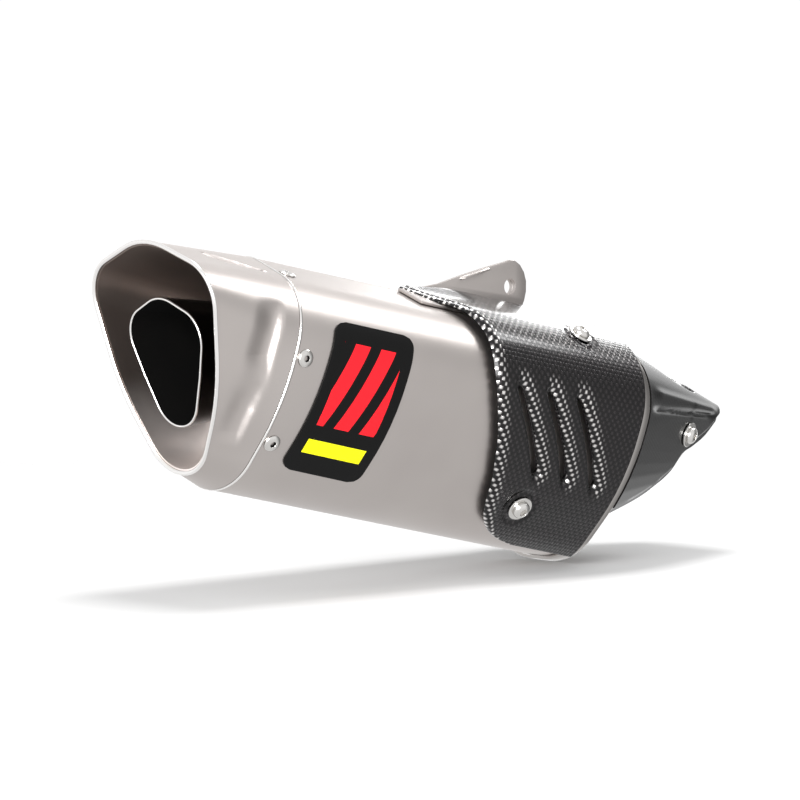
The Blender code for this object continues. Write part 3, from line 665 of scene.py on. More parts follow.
def edit(piece: Piece) -> bmesh.types.BMesh:
    """Open a piece alone in edit mode with all of it selected.

    Args:
        piece: the piece.

    Returns:
        Its mesh for editing.
    """
    bpy.ops.object.select_all(action="DESELECT")
    piece.select_set(True)
    bpy.context.view_layer.objects.active = piece
    bpy.ops.object.mode_set(mode="EDIT")
    bpy.ops.mesh.select_all(action="SELECT")
    return bmesh.from_edit_mesh(piece.data)


def leave_edit() -> None:
    """Go back to object mode."""
    bpy.ops.object.mode_set(mode="OBJECT")


def loft(name: str, rings: Sequence[Ring], ends: Ends = Ends.JOINED) -> Piece:
    """Draw one ring and extrude it through all the others.

    Args:
        name: the piece's name.
        rings: rings of points in mm, all with the same count.
        ends: what closes the skin.

    Returns:
        The new piece, in metres in the can's frame.
    """
    bpy.ops.object.select_all(action="DESELECT")
    bpy.ops.mesh.primitive_circle_add(vertices=len(rings[0]), radius=0.05)
    piece = bpy.context.object
    piece.name = piece.data.name = name
    work = edit(piece)
    order = work.verts.layers.int.new("order")
    for i, corner in enumerate(work.verts):
        corner[order] = i
        corner.co = rings[0][i] * MM
    stations = list(rings[1:])
    if ends is Ends.JOINED:
        stations.append(rings[0])
    if ends is Ends.FILLED:
        bpy.ops.mesh.edge_face_add()
    for ring in stations:
        bpy.ops.mesh.extrude_region_move()
        work = bmesh.from_edit_mesh(piece.data)
        order = work.verts.layers.int["order"]
        for corner in work.verts:
            if corner.select:
                corner.co = ring[corner[order]] * MM
    bmesh.update_edit_mesh(piece.data)
    bpy.ops.mesh.select_all(action="SELECT")
    bpy.ops.mesh.remove_doubles(threshold=1e-6)
    bpy.ops.mesh.normals_make_consistent(inside=False)
    leave_edit()
    piece.data.attributes.remove(piece.data.attributes["order"])
    return piece


def sheet_piece(name: str, columns: int, rows: int, place: Callable[[float, float], Vector],
                wall: float, cloth: Callable[[float, float], tuple[float, float]] | None = None) -> Piece:
    """Bend a grid into a sheet and give it a wall.

    Args:
        name: the piece's name.
        columns: stretches along the sheet.
        rows: stretches across the sheet.
        place: gives the point in mm for shares along and across.
        wall: wall in mm, laid under the side that the place function calls the face.
        cloth: gives the place on the cloth in mm, for the UV map in metres.

    Returns:
        The new piece, its UV map in shares along and across or on the cloth.
    """
    bpy.ops.object.select_all(action="DESELECT")
    bpy.ops.mesh.primitive_grid_add(x_subdivisions=columns, y_subdivisions=rows, size=2.0)
    piece = bpy.context.object
    piece.name = piece.data.name = name
    work = edit(piece)
    for corner in work.verts:
        corner.co = place((corner.co.x + 1) / 2, (corner.co.y + 1) / 2) * MM
    bmesh.update_edit_mesh(piece.data)
    leave_edit()
    if cloth:
        for loop in piece.data.uv_layers.active.data:
            spot = cloth(loop.uv.x, loop.uv.y)
            loop.uv = (spot[0] * MM, spot[1] * MM)
    middle = piece.data.polygons[len(piece.data.polygons) // 2]
    if middle.normal.dot(Vector((0, middle.center.y, middle.center.z))) < 0:
        piece.data.flip_normals()
    if wall:
        thicken(piece, wall)
    return piece


def apply_modifier(piece: Piece, name: str, kind: str, **settings: object) -> None:
    """Add a modifier with its settings and apply it.

    Args:
        piece: the piece.
        name: the modifier's name.
        kind: the modifier's type name.
        settings: attributes of the modifier.
    """
    bpy.ops.object.select_all(action="DESELECT")
    piece.select_set(True)
    bpy.context.view_layer.objects.active = piece
    step = piece.modifiers.new(name, kind)
    for key, value in settings.items():
        setattr(step, key, value)
    bpy.ops.object.modifier_apply(modifier=name)


def thicken(piece: Piece, wall: float) -> None:
    """Give a sheet its wall, inwards from its face."""
    apply_modifier(piece, "wall", "SOLIDIFY", thickness=wall * MM, offset=-1.0, use_even_offset=True)


def soften(piece: Piece, width: float, segments: int = 2, angle: float = 40.0) -> None:
    """Round a piece's sharp edges by a width in mm."""
    apply_modifier(piece, "edges", "BEVEL", width=width * MM, segments=segments,
                   limit_method="ANGLE", angle_limit=math.radians(angle), harden_normals=False)


def drill(piece: Piece, seat: Matrix, radius: float, depth: float = 30.0, sides: int = 32) -> None:
    """Drill a round hole through a piece.

    Args:
        piece: the piece.
        seat: the drill's frame, in metres; the hole runs along its z axis.
        radius: the hole's radius in mm.
        depth: the drill's length in mm, half on each side of the seat.
        sides: how many flats the drill has.
    """
    bpy.ops.object.select_all(action="DESELECT")
    bpy.ops.mesh.primitive_cylinder_add(vertices=sides, radius=radius * MM, depth=depth * MM)
    tool = bpy.context.object
    tool.matrix_world = seat
    apply_modifier(piece, "hole", "BOOLEAN", operation="DIFFERENCE", solver="EXACT", object=tool)
    bpy.data.objects.remove(tool)


def dress(piece: Piece, material: bpy.types.Material, slot: str, *nodes: str, body: str = BODY,
          smooth: float = 35.0) -> Piece:
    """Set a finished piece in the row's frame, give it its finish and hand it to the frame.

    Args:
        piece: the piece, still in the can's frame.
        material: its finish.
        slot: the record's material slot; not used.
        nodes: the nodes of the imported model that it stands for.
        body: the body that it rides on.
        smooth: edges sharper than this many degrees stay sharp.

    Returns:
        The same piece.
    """
    bpy.ops.object.select_all(action="DESELECT")
    piece.select_set(True)
    bpy.context.view_layer.objects.active = piece
    piece.matrix_world = CAN_TO_ROW @ piece.matrix_world
    bpy.ops.object.transform_apply(location=True, rotation=True, scale=True)
    bpy.ops.object.shade_smooth_by_angle(angle=math.radians(smooth))
    if not piece.data.materials:
        piece.data.materials.append(material)
    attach(piece, body)
    if nodes:
        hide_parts(*nodes)
    LOG.info("%s: %d faces", piece.name, len(piece.data.polygons))
    return piece


def circle(x: float, radius: float, count: int, centre: float = 0.0) -> Ring:
    """A circle of points across the can's axis, from the top and going outboard."""
    angles = [math.pi / 2 + math.tau * i / count for i in range(count)]
    return [Vector((x, radius * math.cos(a), centre + radius * math.sin(a))) for a in angles]


def turned(name: str, profile: Sequence[tuple[float, float]], ends: Ends, count: int = 32,
           socket: Sequence[int] = ()) -> Piece:
    """Turn a profile about z.

    Args:
        name: the piece's name.
        profile: (radius, height) points in mm.
        ends: how the turned skin is closed.
        count: points round it.
        socket: which profile points are hexagons rather than circles.

    Returns:
        The new piece, centred on its own axis.
    """
    rings = []
    for i, (radius, height) in enumerate(profile):
        ring = []
        for k in range(count):
            angle = math.tau * k / count
            reach = radius
            if i in socket:
                reach = radius / math.cos((angle + math.pi / 6) % (math.pi / 3) - math.pi / 6)
            ring.append(Vector((reach * math.cos(angle), reach * math.sin(angle), height)))
        rings.append(ring)
    return loft(name, rings, ends)


def copy_to(pattern: Piece, name: str, seat: Matrix) -> Piece:
    """Copy a pattern piece, mesh and all, to a seat.

    Args:
        pattern: the piece to copy.
        name: the copy's name.
        seat: the copy's frame, in metres.

    Returns:
        The copy.
    """
    made = pattern.copy()
    made.data = pattern.data.copy()
    made.name = made.data.name = name
    bpy.context.scene.collection.objects.link(made)
    made.matrix_world = seat
    return made


# ------------------------------------------------------------------ can and outlet


@dataclass
class Finishes:
    """The finishes in use, each made once."""

    titanium: bpy.types.Material = field(default_factory=lambda: BlastedTitanium().material())
    # The dish's finish holds painted light and painted shade.
    dish: bpy.types.Material = field(default_factory=lambda: PaintedShadeTitanium().material())
    # Painted shade: the outlet tube's outer wall, deep in the dish, in a dark colour that stands for its
    # shadow.
    shaded_tube_wall: bpy.types.Material = field(default_factory=lambda: BlastedTitanium(
        name="tube_wall_painted_shade", colour="3A3533", dark="2A2625", roughness=0.3).material())
    tinted: bpy.types.Material = field(default_factory=lambda: BlastedTitanium(
        name="heat_tinted_titanium", colour="C9B48E", dark="8F7F92", roughness=0.3, cloud_mm=24).material())
    polished: bpy.types.Material = field(default_factory=lambda: PolishedMetal().material())
    turned: bpy.types.Material = field(default_factory=lambda: PolishedMetal(
        name="turned_titanium", colour="AFABA8", roughness=0.12).material())
    steel: bpy.types.Material = field(default_factory=lambda: PolishedMetal(
        name="stainless_fastener", colour="D8D6D3", roughness=0.2).material())
    # Soot in the tailpipe, and painted shade there and in the rivets' bores.
    soot_and_shade: bpy.types.Material = field(default_factory=lambda: SootAndShadeBlack().material())
    shield: bpy.types.Material = field(default_factory=lambda: CarbonWeave().material())
    # Painted glint, faint: the crowns only a little lighter than the valleys.
    cover: bpy.types.Material = field(default_factory=lambda: CarbonWeave(
        name="carbon_gloss_lacquer", crown_glint="0E0D0D", valley="060505", roughness=0.3, coat=0.9,
        coat_roughness=0.02, bump=0.05).material())
    plate: bpy.types.Material = field(default_factory=lambda: PrintedPlate().material())
    wool: bpy.types.Material = field(default_factory=lambda: GlassWool().material())


@dataclass
class Mouth:
    """The slanted outlet end: cap, dish and tip, with their sizes in mm.

    Outlines are drawn in the mouth's plane. A roll is a row of steps (out, ahead) from the
    outline, and the flange is a row of steps (x, out) from the can's skin. Scoops lie
    between two runs down from the ridge, and the drop between two (x, run) points.
    """

    x: float = -43.5
    tilt: float = math.radians(-23.5)
    wall: float = 1.2
    lip: tuple[Corner, ...] = (
        Corner(0, 65.5, 53), Corner(55.5, 45, 23), Corner(43, -18.5, 120), Corner(16, -63, 28.5))
    lip_roll: Steps = (
        (0.6, 0.2), (0.75, 0.9), (0.35, 1.5), (-0.4, 1.75), (-1.2, 1.5), (-1.65, 0.9), (-1.5, 0.3))
    cap_start: float = -0.6
    cap_stations: int = 44
    flange: Steps = ((0.0, -2.7), (14.0, -2.7), (14.0, -1.5), (-0.55, -1.5), (-0.6, -0.4))
    tip_x: float = -39.5
    tip: tuple[Corner, ...] = (
        Corner(0, 35, 25), Corner(35, 20, 16.5), Corner(24.5, -9.5, 40), Corner(12.5, -37, 18))
    tip_roll: Steps = ((-1.25, 0.5), (-1.0, 0.95), (-0.6, 1.15), (-0.2, 0.95), (0.05, 0.5))
    tip_end: float = 10.0
    tip_narrowing: float = 0.94
    tip_stations: int = 4
    pipe_x: tuple[float, float] = (54.0, 69.7)
    pipe_z: float = 6.0
    pipe_radius: float = 27.0
    dish_floor: float = 8.0
    dish_steps: int = 14
    dish_wall: float = 1.0
    dish_inset: float = 1.5
    dish_gap: float = 1.0
    scoops: Steps = ((64.0, 107.0), (106.0, 152.0))
    scoop_x: float = -9.0
    scoop_bow: float = 2.5
    scoop_slope: tuple[float, float] = (20.0, 5.0)
    scoop_edge: float = 4.0
    scoop_taper: float = 0.3
    scoop_depth: float = 3.0
    drop: Steps = ((-42.0, 14.0), (-8.0, 37.0))
    drop_width: float = 8.0
    drop_nose: float = 0.12
    drop_roundness: float = 0.7
    drop_tail: float = 1.1
    drop_floor: float = 0.45
    drop_edge: float = 0.8

    def outline(self, corners: Sequence[Corner], x: float, offset: float, ahead: float = 0.0) -> Ring:
        """Draw an outline in the mouth's plane.

        Args:
            corners: the outline's corners.
            x: where the plane crosses the can's axis, in mm.
            offset: distance out from the outline in mm.
            ahead: distance out of the mouth in mm.

        Returns:
            The outline as a ring.
        """
        loop = rounded(corners)
        outs = normals_of(loop)
        sine, cosine = math.sin(self.tilt), math.cos(self.tilt)
        moved = [p + n * offset for p, n in zip(loop, outs)]
        return [Vector((x + p.y * sine - ahead * cosine, p.x, p.y * cosine + ahead * sine)) for p in moved]

    def scoop_press(self, x: float, run: float) -> float:
        """How deep the scoops are at a place of the cap.

        Args:
            x: distance from the joint in mm, below zero on the cap.
            run: the length down from the ridge in mm.

        Returns:
            The depth in mm.
        """
        depth = 0.0
        far, near = self.scoop_slope
        for low, high in self.scoops:
            share = (run - low) / (high - low)
            if 0 < share < 1:
                edge = self.scoop_x - self.scoop_bow * math.sin(math.pi * share)
                across = ease(edge - far, edge - near, x) * (1 - ease(edge - self.scoop_edge, edge, x))
                ends = ease(0.0, self.scoop_taper, share) * (1 - ease(1 - self.scoop_taper, 1.0, share))
                depth = max(depth, self.scoop_depth * across * ends)
        return depth

    def drop_press(self, x: float, run: float) -> float:
        """How deep the drop-shaped hollow near the ridge is at a place of the cap.

        Args:
            x: distance from the joint in mm, below zero on the cap.
            run: the length down from the ridge in mm.

        Returns:
            The depth in mm.
        """
        (x0, run0), (x1, run1) = self.drop
        share = (x - x0) / (x1 - x0)
        if not 0 < share < 1:
            return 0.0
        swell = math.sin(math.pi * min(share + self.drop_nose, 1.0)) ** self.drop_roundness
        half = self.drop_width * swell * (self.drop_tail - share)
        away = abs(run - run0 - (run1 - run0) * share)
        return self.scoop_depth * (1 - ease(self.drop_floor * half, half + self.drop_edge, away))

    def cap_skin(self, share: float, offset: float) -> Ring:
        """Shape a ring of the cap.

        Args:
            share: 0 at the joint and 1 at the lip.
            offset: distance out from the skin in mm.

        Returns:
            The ring, pressed in at the scoops and the drop.
        """
        start, end = CAN.ring(self.cap_start, offset), self.outline(self.lip, self.x, offset)
        ring = []
        for k, (a, b) in enumerate(zip(start, end)):
            here, out = a.lerp(b, share), CAN.outs[0][k]
            run = CAN.lengths[min(k, CAN.count - k)]
            depth = max(self.scoop_press(here.x, run), self.drop_press(here.x, run))
            ring.append(here - Vector((0, out.x, out.y)) * depth)
        return ring

    def build_cap(self, finishes: Finishes) -> None:
        """Form the cap's skin, its rolled lip and its flange in the sleeve.

        Args:
            finishes: the finishes in use.
        """
        count = self.cap_stations
        outside = [self.cap_skin(k / count, 0.0) for k in range(count + 1)]
        lip = [self.outline(self.lip, self.x, out, ahead) for out, ahead in self.lip_roll]
        inside = [self.cap_skin(1.0 - k / count, -self.wall) for k in range(count)]
        flange = [CAN.ring(x, out) for x, out in self.flange]
        cap = loft("outlet_end_cap_skin", outside + lip + inside + flange)
        cap.data.materials.append(finishes.titanium)
        cap.data.materials.append(finishes.polished)
        for face in cap.data.polygons:
            if count <= face.index // CAN.count <= count + len(self.lip_roll):
                face.material_index = 1
        dress(cap, finishes.titanium, "titanium_satin", "outlet_end_cap", smooth=50)

    def tip_skin(self, share: float, offset: float) -> Ring:
        """Shape a ring of the outlet tube.

        Args:
            share: 0 at its lip and 1 at its level end.
            offset: distance out from the tube's skin in mm.

        Returns:
            The ring.
        """
        rise = (self.tip_end - self.tip_x) * math.tan(PITCH)
        narrow = self.tip_narrowing
        lip = self.outline(self.tip, self.tip_x, offset)
        return [p.lerp(Vector((self.tip_end, p.y * narrow, p.z * narrow + rise)), share) for p in lip]

    def build_tip(self, finishes: Finishes) -> None:
        """Form the outlet tube with its rolled bright lip, its outer wall in painted shade and its bore
        black with soot and painted shade.

        Args:
            finishes: the finishes in use.
        """
        shares = [k / self.tip_stations for k in range(self.tip_stations + 1)]
        outside = [self.tip_skin(share, 0.0) for share in shares]
        inside = [self.tip_skin(share, -self.wall) for share in shares]
        for x in self.pipe_x:
            outside.append(circle(x, self.pipe_radius, CAN.count, self.pipe_z))
            inside.append(circle(x, self.pipe_radius - self.wall, CAN.count, self.pipe_z))
        lip = [self.outline(self.tip, self.tip_x, out, ahead) for out, ahead in self.tip_roll]
        tube = loft("outlet_tip", outside[::-1] + lip[::-1] + inside)
        # Outer wall in painted shade, lip polished, bore black with soot and painted shade.
        for material in (finishes.shaded_tube_wall, finishes.polished, finishes.soot_and_shade):
            tube.data.materials.append(material)
        lip_start = len(outside) - 1
        bore_start = lip_start + len(lip) + 1
        for face in tube.data.polygons:
            ring = face.index // CAN.count
            face.material_index = int(ring >= lip_start) + int(ring >= bore_start)
        dress(tube, finishes.shaded_tube_wall, "titanium_polished", "outlet_tube", smooth=60)

    def dish_face(self, offset: float) -> list[Ring]:
        """Shape one side of the dish's sheet, from its rim down to the tube.

        Args:
            offset: distance behind the sheet's face in mm.

        Returns:
            The rings of that side.
        """
        share = min((self.dish_floor - self.tip_x) / (self.tip_end - self.tip_x), 1.0)
        rim = self.outline(self.lip, self.x, -self.dish_inset - offset)
        throat = [Vector((self.dish_floor, p.y, p.z)) for p in self.tip_skin(share, self.dish_gap)]
        rings = []
        for k in range(self.dish_steps + 1):
            angle = math.pi / 2 * k / self.dish_steps
            deep, inward = math.sin(angle), 1 - math.cos(angle)
            rings.append([Vector((a.x + (b.x - offset - a.x) * deep, a.y + (b.y - a.y) * inward,
                                  a.z + (b.z - a.z) * inward)) for a, b in zip(rim, throat)])
        return rings

    def build_dish(self, finishes: Finishes) -> None:
        """Form the deep dish between the cap's lip and the outlet tube."""
        dish = loft("outlet_dish", self.dish_face(self.dish_wall) + self.dish_face(0.0)[::-1])
        dress(dish, finishes.dish, "titanium_satin", "outlet_funnel", smooth=60)

    def build(self, finishes: Finishes) -> None:
        """Build the outlet end.

        Args:
            finishes: the finishes in use.
        """
        self.build_cap(finishes)
        self.build_tip(finishes)
        self.build_dish(finishes)


@dataclass
class Sleeve:
    """The can's sleeve, its end ring and its badge plate, with their sizes in mm.

    The roll at the front edge is a row of steps (x, out) from the can's skin, and the ring's
    section is a row of steps (along, out) from each of its ends.
    """

    wall: float = 1.2
    roll: Steps = ((0.0, -0.5), (-0.15, 0.0), (0.1, 0.4), (0.6, 0.5), (1.1, 0.35), (1.6, 0.0))
    stations: tuple[float, ...] = (42.0, 84.0, 126.0, 168.0, 210.0)
    edge: float = 0.35
    ring_x: tuple[float, float] = (246.5, 255.5)
    ring_section: Steps = ((0.0, 0.4), (0.0, 1.3), (0.6, 1.9), (1.4, 2.2))
    plate_x: tuple[float, float] = (23.0, 77.0)
    plate_run: tuple[float, float] = (68.0, 157.0)
    plate_lean: float = -4.0
    plate_corner: float = 7.0
    plate_lift: float = 0.95
    plate_wall: float = 0.5

    def build_skin(self, finishes: Finishes) -> None:
        """Form the sleeve with its front edge rolled and its rear edge eased.

        Args:
            finishes: the finishes in use.
        """
        steps = self.roll + tuple((x, 0.0) for x in self.stations) + (
            (SLEEVE_LENGTH - self.edge, 0.0), (SLEEVE_LENGTH, -self.edge), (SLEEVE_LENGTH, -self.wall),
            (0.0, -self.wall))
        skin = loft("sleeve_skin", [CAN.ring(x, out) for x, out in steps])
        skin.data.materials.append(finishes.titanium)
        skin.data.materials.append(finishes.polished)
        for face in skin.data.polygons:
            if face.index < (len(self.roll) - 2) * CAN.count:
                face.material_index = 1
        dress(skin, finishes.titanium, "titanium_satin", "outer_sleeve")

    def build_end_ring(self, finishes: Finishes) -> None:
        """Form the rounded bright ring over the sleeve's inlet end.

        Args:
            finishes: the finishes in use.
        """
        start, end = self.ring_x
        rings = [CAN.ring(start + along, out) for along, out in self.ring_section]
        rings += [CAN.ring(end - along, out) for along, out in reversed(self.ring_section)]
        dress(loft("sleeve_end_ring", rings), finishes.turned, "titanium_polished", "inlet_end_ring")

    def plate_point(self, along: float, across: float) -> Vector:
        """Place a point of the badge plate, its corners rounded.

        Args:
            along: share from its front to its rear.
            across: share from its foot to its head, so that the print stands upright.

        Returns:
            The point in mm.
        """
        (x0, x1), (r0, r1) = self.plate_x, self.plate_run
        run = r1 + (r0 - r1) * across
        from_edge = min(run - r0, r1 - run)
        inset = 0.0
        if from_edge < self.plate_corner:
            inset = self.plate_corner - math.sqrt(max(
                self.plate_corner ** 2 - (self.plate_corner - from_edge) ** 2, 0.0))
        lean = self.plate_lean * (run - r0) / (r1 - r0)
        x = x0 + lean + inset + (x1 - x0 - 2 * inset) * along
        return CAN.point(x, CAN.place(run), self.plate_lift)

    def build_plate(self, finishes: Finishes) -> None:
        """Lay the badge plate on the skin.

        Args:
            finishes: the finishes in use.
        """
        plate = sheet_piece("badge_plate_print", 16, 72, self.plate_point, self.plate_wall)
        for loop in plate.data.uv_layers.active.data:
            loop.uv.y = 1 - loop.uv.y
        dress(plate, finishes.plate, "badge_black", "badge_plate")

    def build(self, finishes: Finishes) -> None:
        """Build the sleeve's pieces.

        Args:
            finishes: the finishes in use.
        """
        self.build_skin(finishes)
        self.build_end_ring(finishes)
        self.build_plate(finishes)


# ------------------------------------------------------------------ shield and cover


def rolled(share: float, radius: float) -> float:
    """How far a rolled lip has turned in at a share of the way to its edge, in mm."""
    reach = ROLL_REACH * share
    return radius * (1 - math.sqrt(1 - reach * reach))


@dataclass
class Louvre:
    """One slanted slot in the shield, from its upper to its lower end (x and run in mm)."""

    start: tuple[float, float]
    end: tuple[float, float]
    width: float = 6.2

    def distance(self, x: float, run: float) -> tuple[float, float]:
        """Measure from the slot's middle line.

        Args:
            x: distance from the joint in mm.
            run: the length down from the ridge in mm.

        Returns:
            The distance in mm, and the distance across with its sign, positive to the inlet.
        """
        here = Vector((x, run))
        a, b = Vector(self.start), Vector(self.end)
        line = b - a
        share = min(max((here - a).dot(line) / line.length_squared, 0.0), 1.0)
        away = here - (a + line * share)
        across = Vector((line.y, -line.x)).normalized()
        return away.length, away.dot(across)


@dataclass
class HeatShield:
    """The carbon shield: a bent sheet with a rolled front edge and three louvres.

    Sizes are in mm. Its outline and its screws are given as x and run down from the ridge.
    """

    offset: float = 6.0
    wall: float = 1.6
    top_run: float = 7.0
    bottom_run: float = 169.5
    rear: float = 245.0
    front: Steps = (
        (0, 100), (8, 103.5), (17, 109), (30, 116.5), (54, 127), (60.5, 129), (76.5, 132), (87, 136),
        (99, 141), (113, 147), (123.7, 151), (135, 156), (144, 159), (154, 163.5), (160, 168),
        (164.5, 174), (167.5, 181), (169.5, 192))
    screws: Steps = ((206.0, 46.0), (183.0, 145.7))
    dimple: tuple[float, float, float, float] = (7.6, 8.8, 9.5, 12.5)
    dimple_depth: float = 0.8
    roll_width: float = 4.6
    ramp_width: float = 4.4
    ramp_turn: tuple[float, float] = (-0.7, 0.2)
    tip_sink: float = 3.6
    tip_reach: float = 42.0
    tip_runs: tuple[float, float] = (10.0, 48.0)
    # Where the finish paints the crowns' glint: fading off the rolls and louvre lips, and a weaker painted
    # highlight on the upper shoulder.
    glint_fade: tuple[float, float] = (0.8, 1.7)
    glint_turn: float = 0.3
    shoulder_runs: tuple[float, float, float, float] = (16.0, 30.0, 44.0, 66.0)
    shoulder_glint: float = 0.35
    columns: int = 150
    rows: int = 190
    saw_length: float = 30.0
    saw_extra: float = 1.5
    louvres: tuple[Louvre, ...] = tuple(
        Louvre((151 + 22.5 * k, 83.5), (181 + 22.5 * k, 125.0)) for k in range(3))

    def spot(self, along: float, across: float) -> tuple[float, float, float]:
        """Find where shares of the sheet lie.

        Args:
            along: share from front to rear.
            across: share from top to bottom.

        Returns:
            The spot's x and run, and the x of the front edge at that run.
        """
        run = self.top_run + (self.bottom_run - self.top_run) * across
        front = smooth_between(self.front, run)
        return front + (self.rear - front) * along, run, front

    def out(self, x: float, run: float, front: float) -> float:
        """How far the face stands off the sleeve.

        Args:
            x: distance from the joint in mm.
            run: the length down from the ridge in mm.
            front: the x of the front edge at that run.

        Returns:
            The distance in mm.
        """
        stand = self.offset + self.wall
        from_front = x - front
        near_front = 1 - ease(0.0, self.tip_reach, from_front)
        stand -= self.tip_sink * near_front * (1 - ease(*self.tip_runs, run))
        if from_front < self.roll_width:
            stand -= rolled(1 - from_front / self.roll_width, self.roll_width)
        for louvre in self.louvres:
            away, side = louvre.distance(x, run)
            edge = away - louvre.width / 2
            if edge < self.ramp_width:
                share = 1 - max(edge, 0.0) / self.ramp_width
                low, high = (turn * louvre.width for turn in self.ramp_turn)
                stand -= rolled(share, self.ramp_width) * ease(low, high, side)
        inner, rim, lip, outer = self.dimple
        for screw_x, screw_run in self.screws:
            away = math.hypot(x - screw_x, run - screw_run)
            stand -= self.dimple_depth * (ease(inner, rim, away) - ease(lip, outer, away))
        return stand

    def glint_paint(self, x: float, run: float, front: float) -> float:
        """How strongly the finish paints the crowns' glint, most where the cloth is tightly bent.

        Args:
            x: distance from the joint in mm.
            run: the length down from the ridge in mm.
            front: the x of the front edge at that run.

        Returns:
            0 on the flats to 1 on the rolls and the louvres' lips, and a weaker painted glint on the upper
            shoulder.
        """
        near, far = self.glint_fade
        tight = 1 - ease(near * self.roll_width, far * self.roll_width, x - front)
        for louvre in self.louvres:
            away, side = louvre.distance(x, run)
            past = ease(near * self.ramp_width, far * self.ramp_width, away - louvre.width / 2)
            tight = max(tight, (1 - past) * ease(0.0, self.glint_turn * louvre.width, side))
        start, full, fade, end = self.shoulder_runs
        shoulder = ease(start, full, run) * (1 - ease(fade, end, run))
        return max(tight, self.shoulder_glint * shoulder)

    def place(self, along: float, across: float) -> Vector:
        """Find a point of the shield's face.

        Args:
            along: share from front to rear.
            across: share from top to bottom.

        Returns:
            The point in mm.
        """
        x, run, front = self.spot(along, across)
        return CAN.point(x, CAN.place(run), self.out(x, run, front))

    def cloth(self, along: float, across: float) -> tuple[float, float]:
        """The place on the cloth for shares of the sheet: x along the can and the run round it."""
        return self.spot(along, across)[:2]

    def cut_louvres(self, shield: Piece) -> None:
        """Saw the slots through the sheet along their middle lines.

        Args:
            shield: the shield with its wall.
        """
        for louvre in self.louvres:
            ends = [CAN.point(x, CAN.place(run), self.offset) for x, run in (louvre.start, louvre.end)]
            middle, line = (ends[0] + ends[1]) / 2, ends[1] - ends[0]
            half = line.length / 2 - louvre.width / 2 + self.saw_extra
            bpy.ops.object.select_all(action="DESELECT")
            bpy.ops.mesh.primitive_cylinder_add(
                vertices=24, radius=louvre.width / 2 * MM, depth=self.saw_length * MM)
            tool = bpy.context.object
            work = edit(tool)
            for corner in work.verts:
                corner.co.y += math.copysign(half * MM, corner.co.y)
            bmesh.update_edit_mesh(tool.data)
            leave_edit()
            outward = Vector((0, -1, 0))
            across = line.normalized().cross(outward).normalized()
            axes = Matrix((across, line.normalized(), across.cross(line.normalized()))).transposed()
            tool.matrix_world = Matrix.Translation(middle * MM) @ axes.to_4x4()
            apply_modifier(shield, "slot", "BOOLEAN", operation="DIFFERENCE", solver="EXACT", object=tool)
            bpy.data.objects.remove(tool)

    def build(self, finishes: Finishes) -> None:
        """Bend the sheet, store where the finish paints bright glints, and saw its slots.

        Args:
            finishes: the finishes in use.
        """
        shield = sheet_piece("heat_shield_carbon", self.columns, self.rows, self.place, 0.0, self.cloth)
        # Painted highlight: each corner stores how brightly the finish paints the crowns there.
        glint_paint = shield.data.attributes.new("glint_paint", "FLOAT", "POINT")
        for i in range(len(shield.data.vertices)):
            row, column = divmod(i, self.columns + 1)
            glint_paint.data[i].value = self.glint_paint(*self.spot(column / self.columns, row / self.rows))
        thicken(shield, self.wall)
        self.cut_louvres(shield)
        dress(shield, finishes.shield, "carbon_clear", "heat_shield", smooth=45)


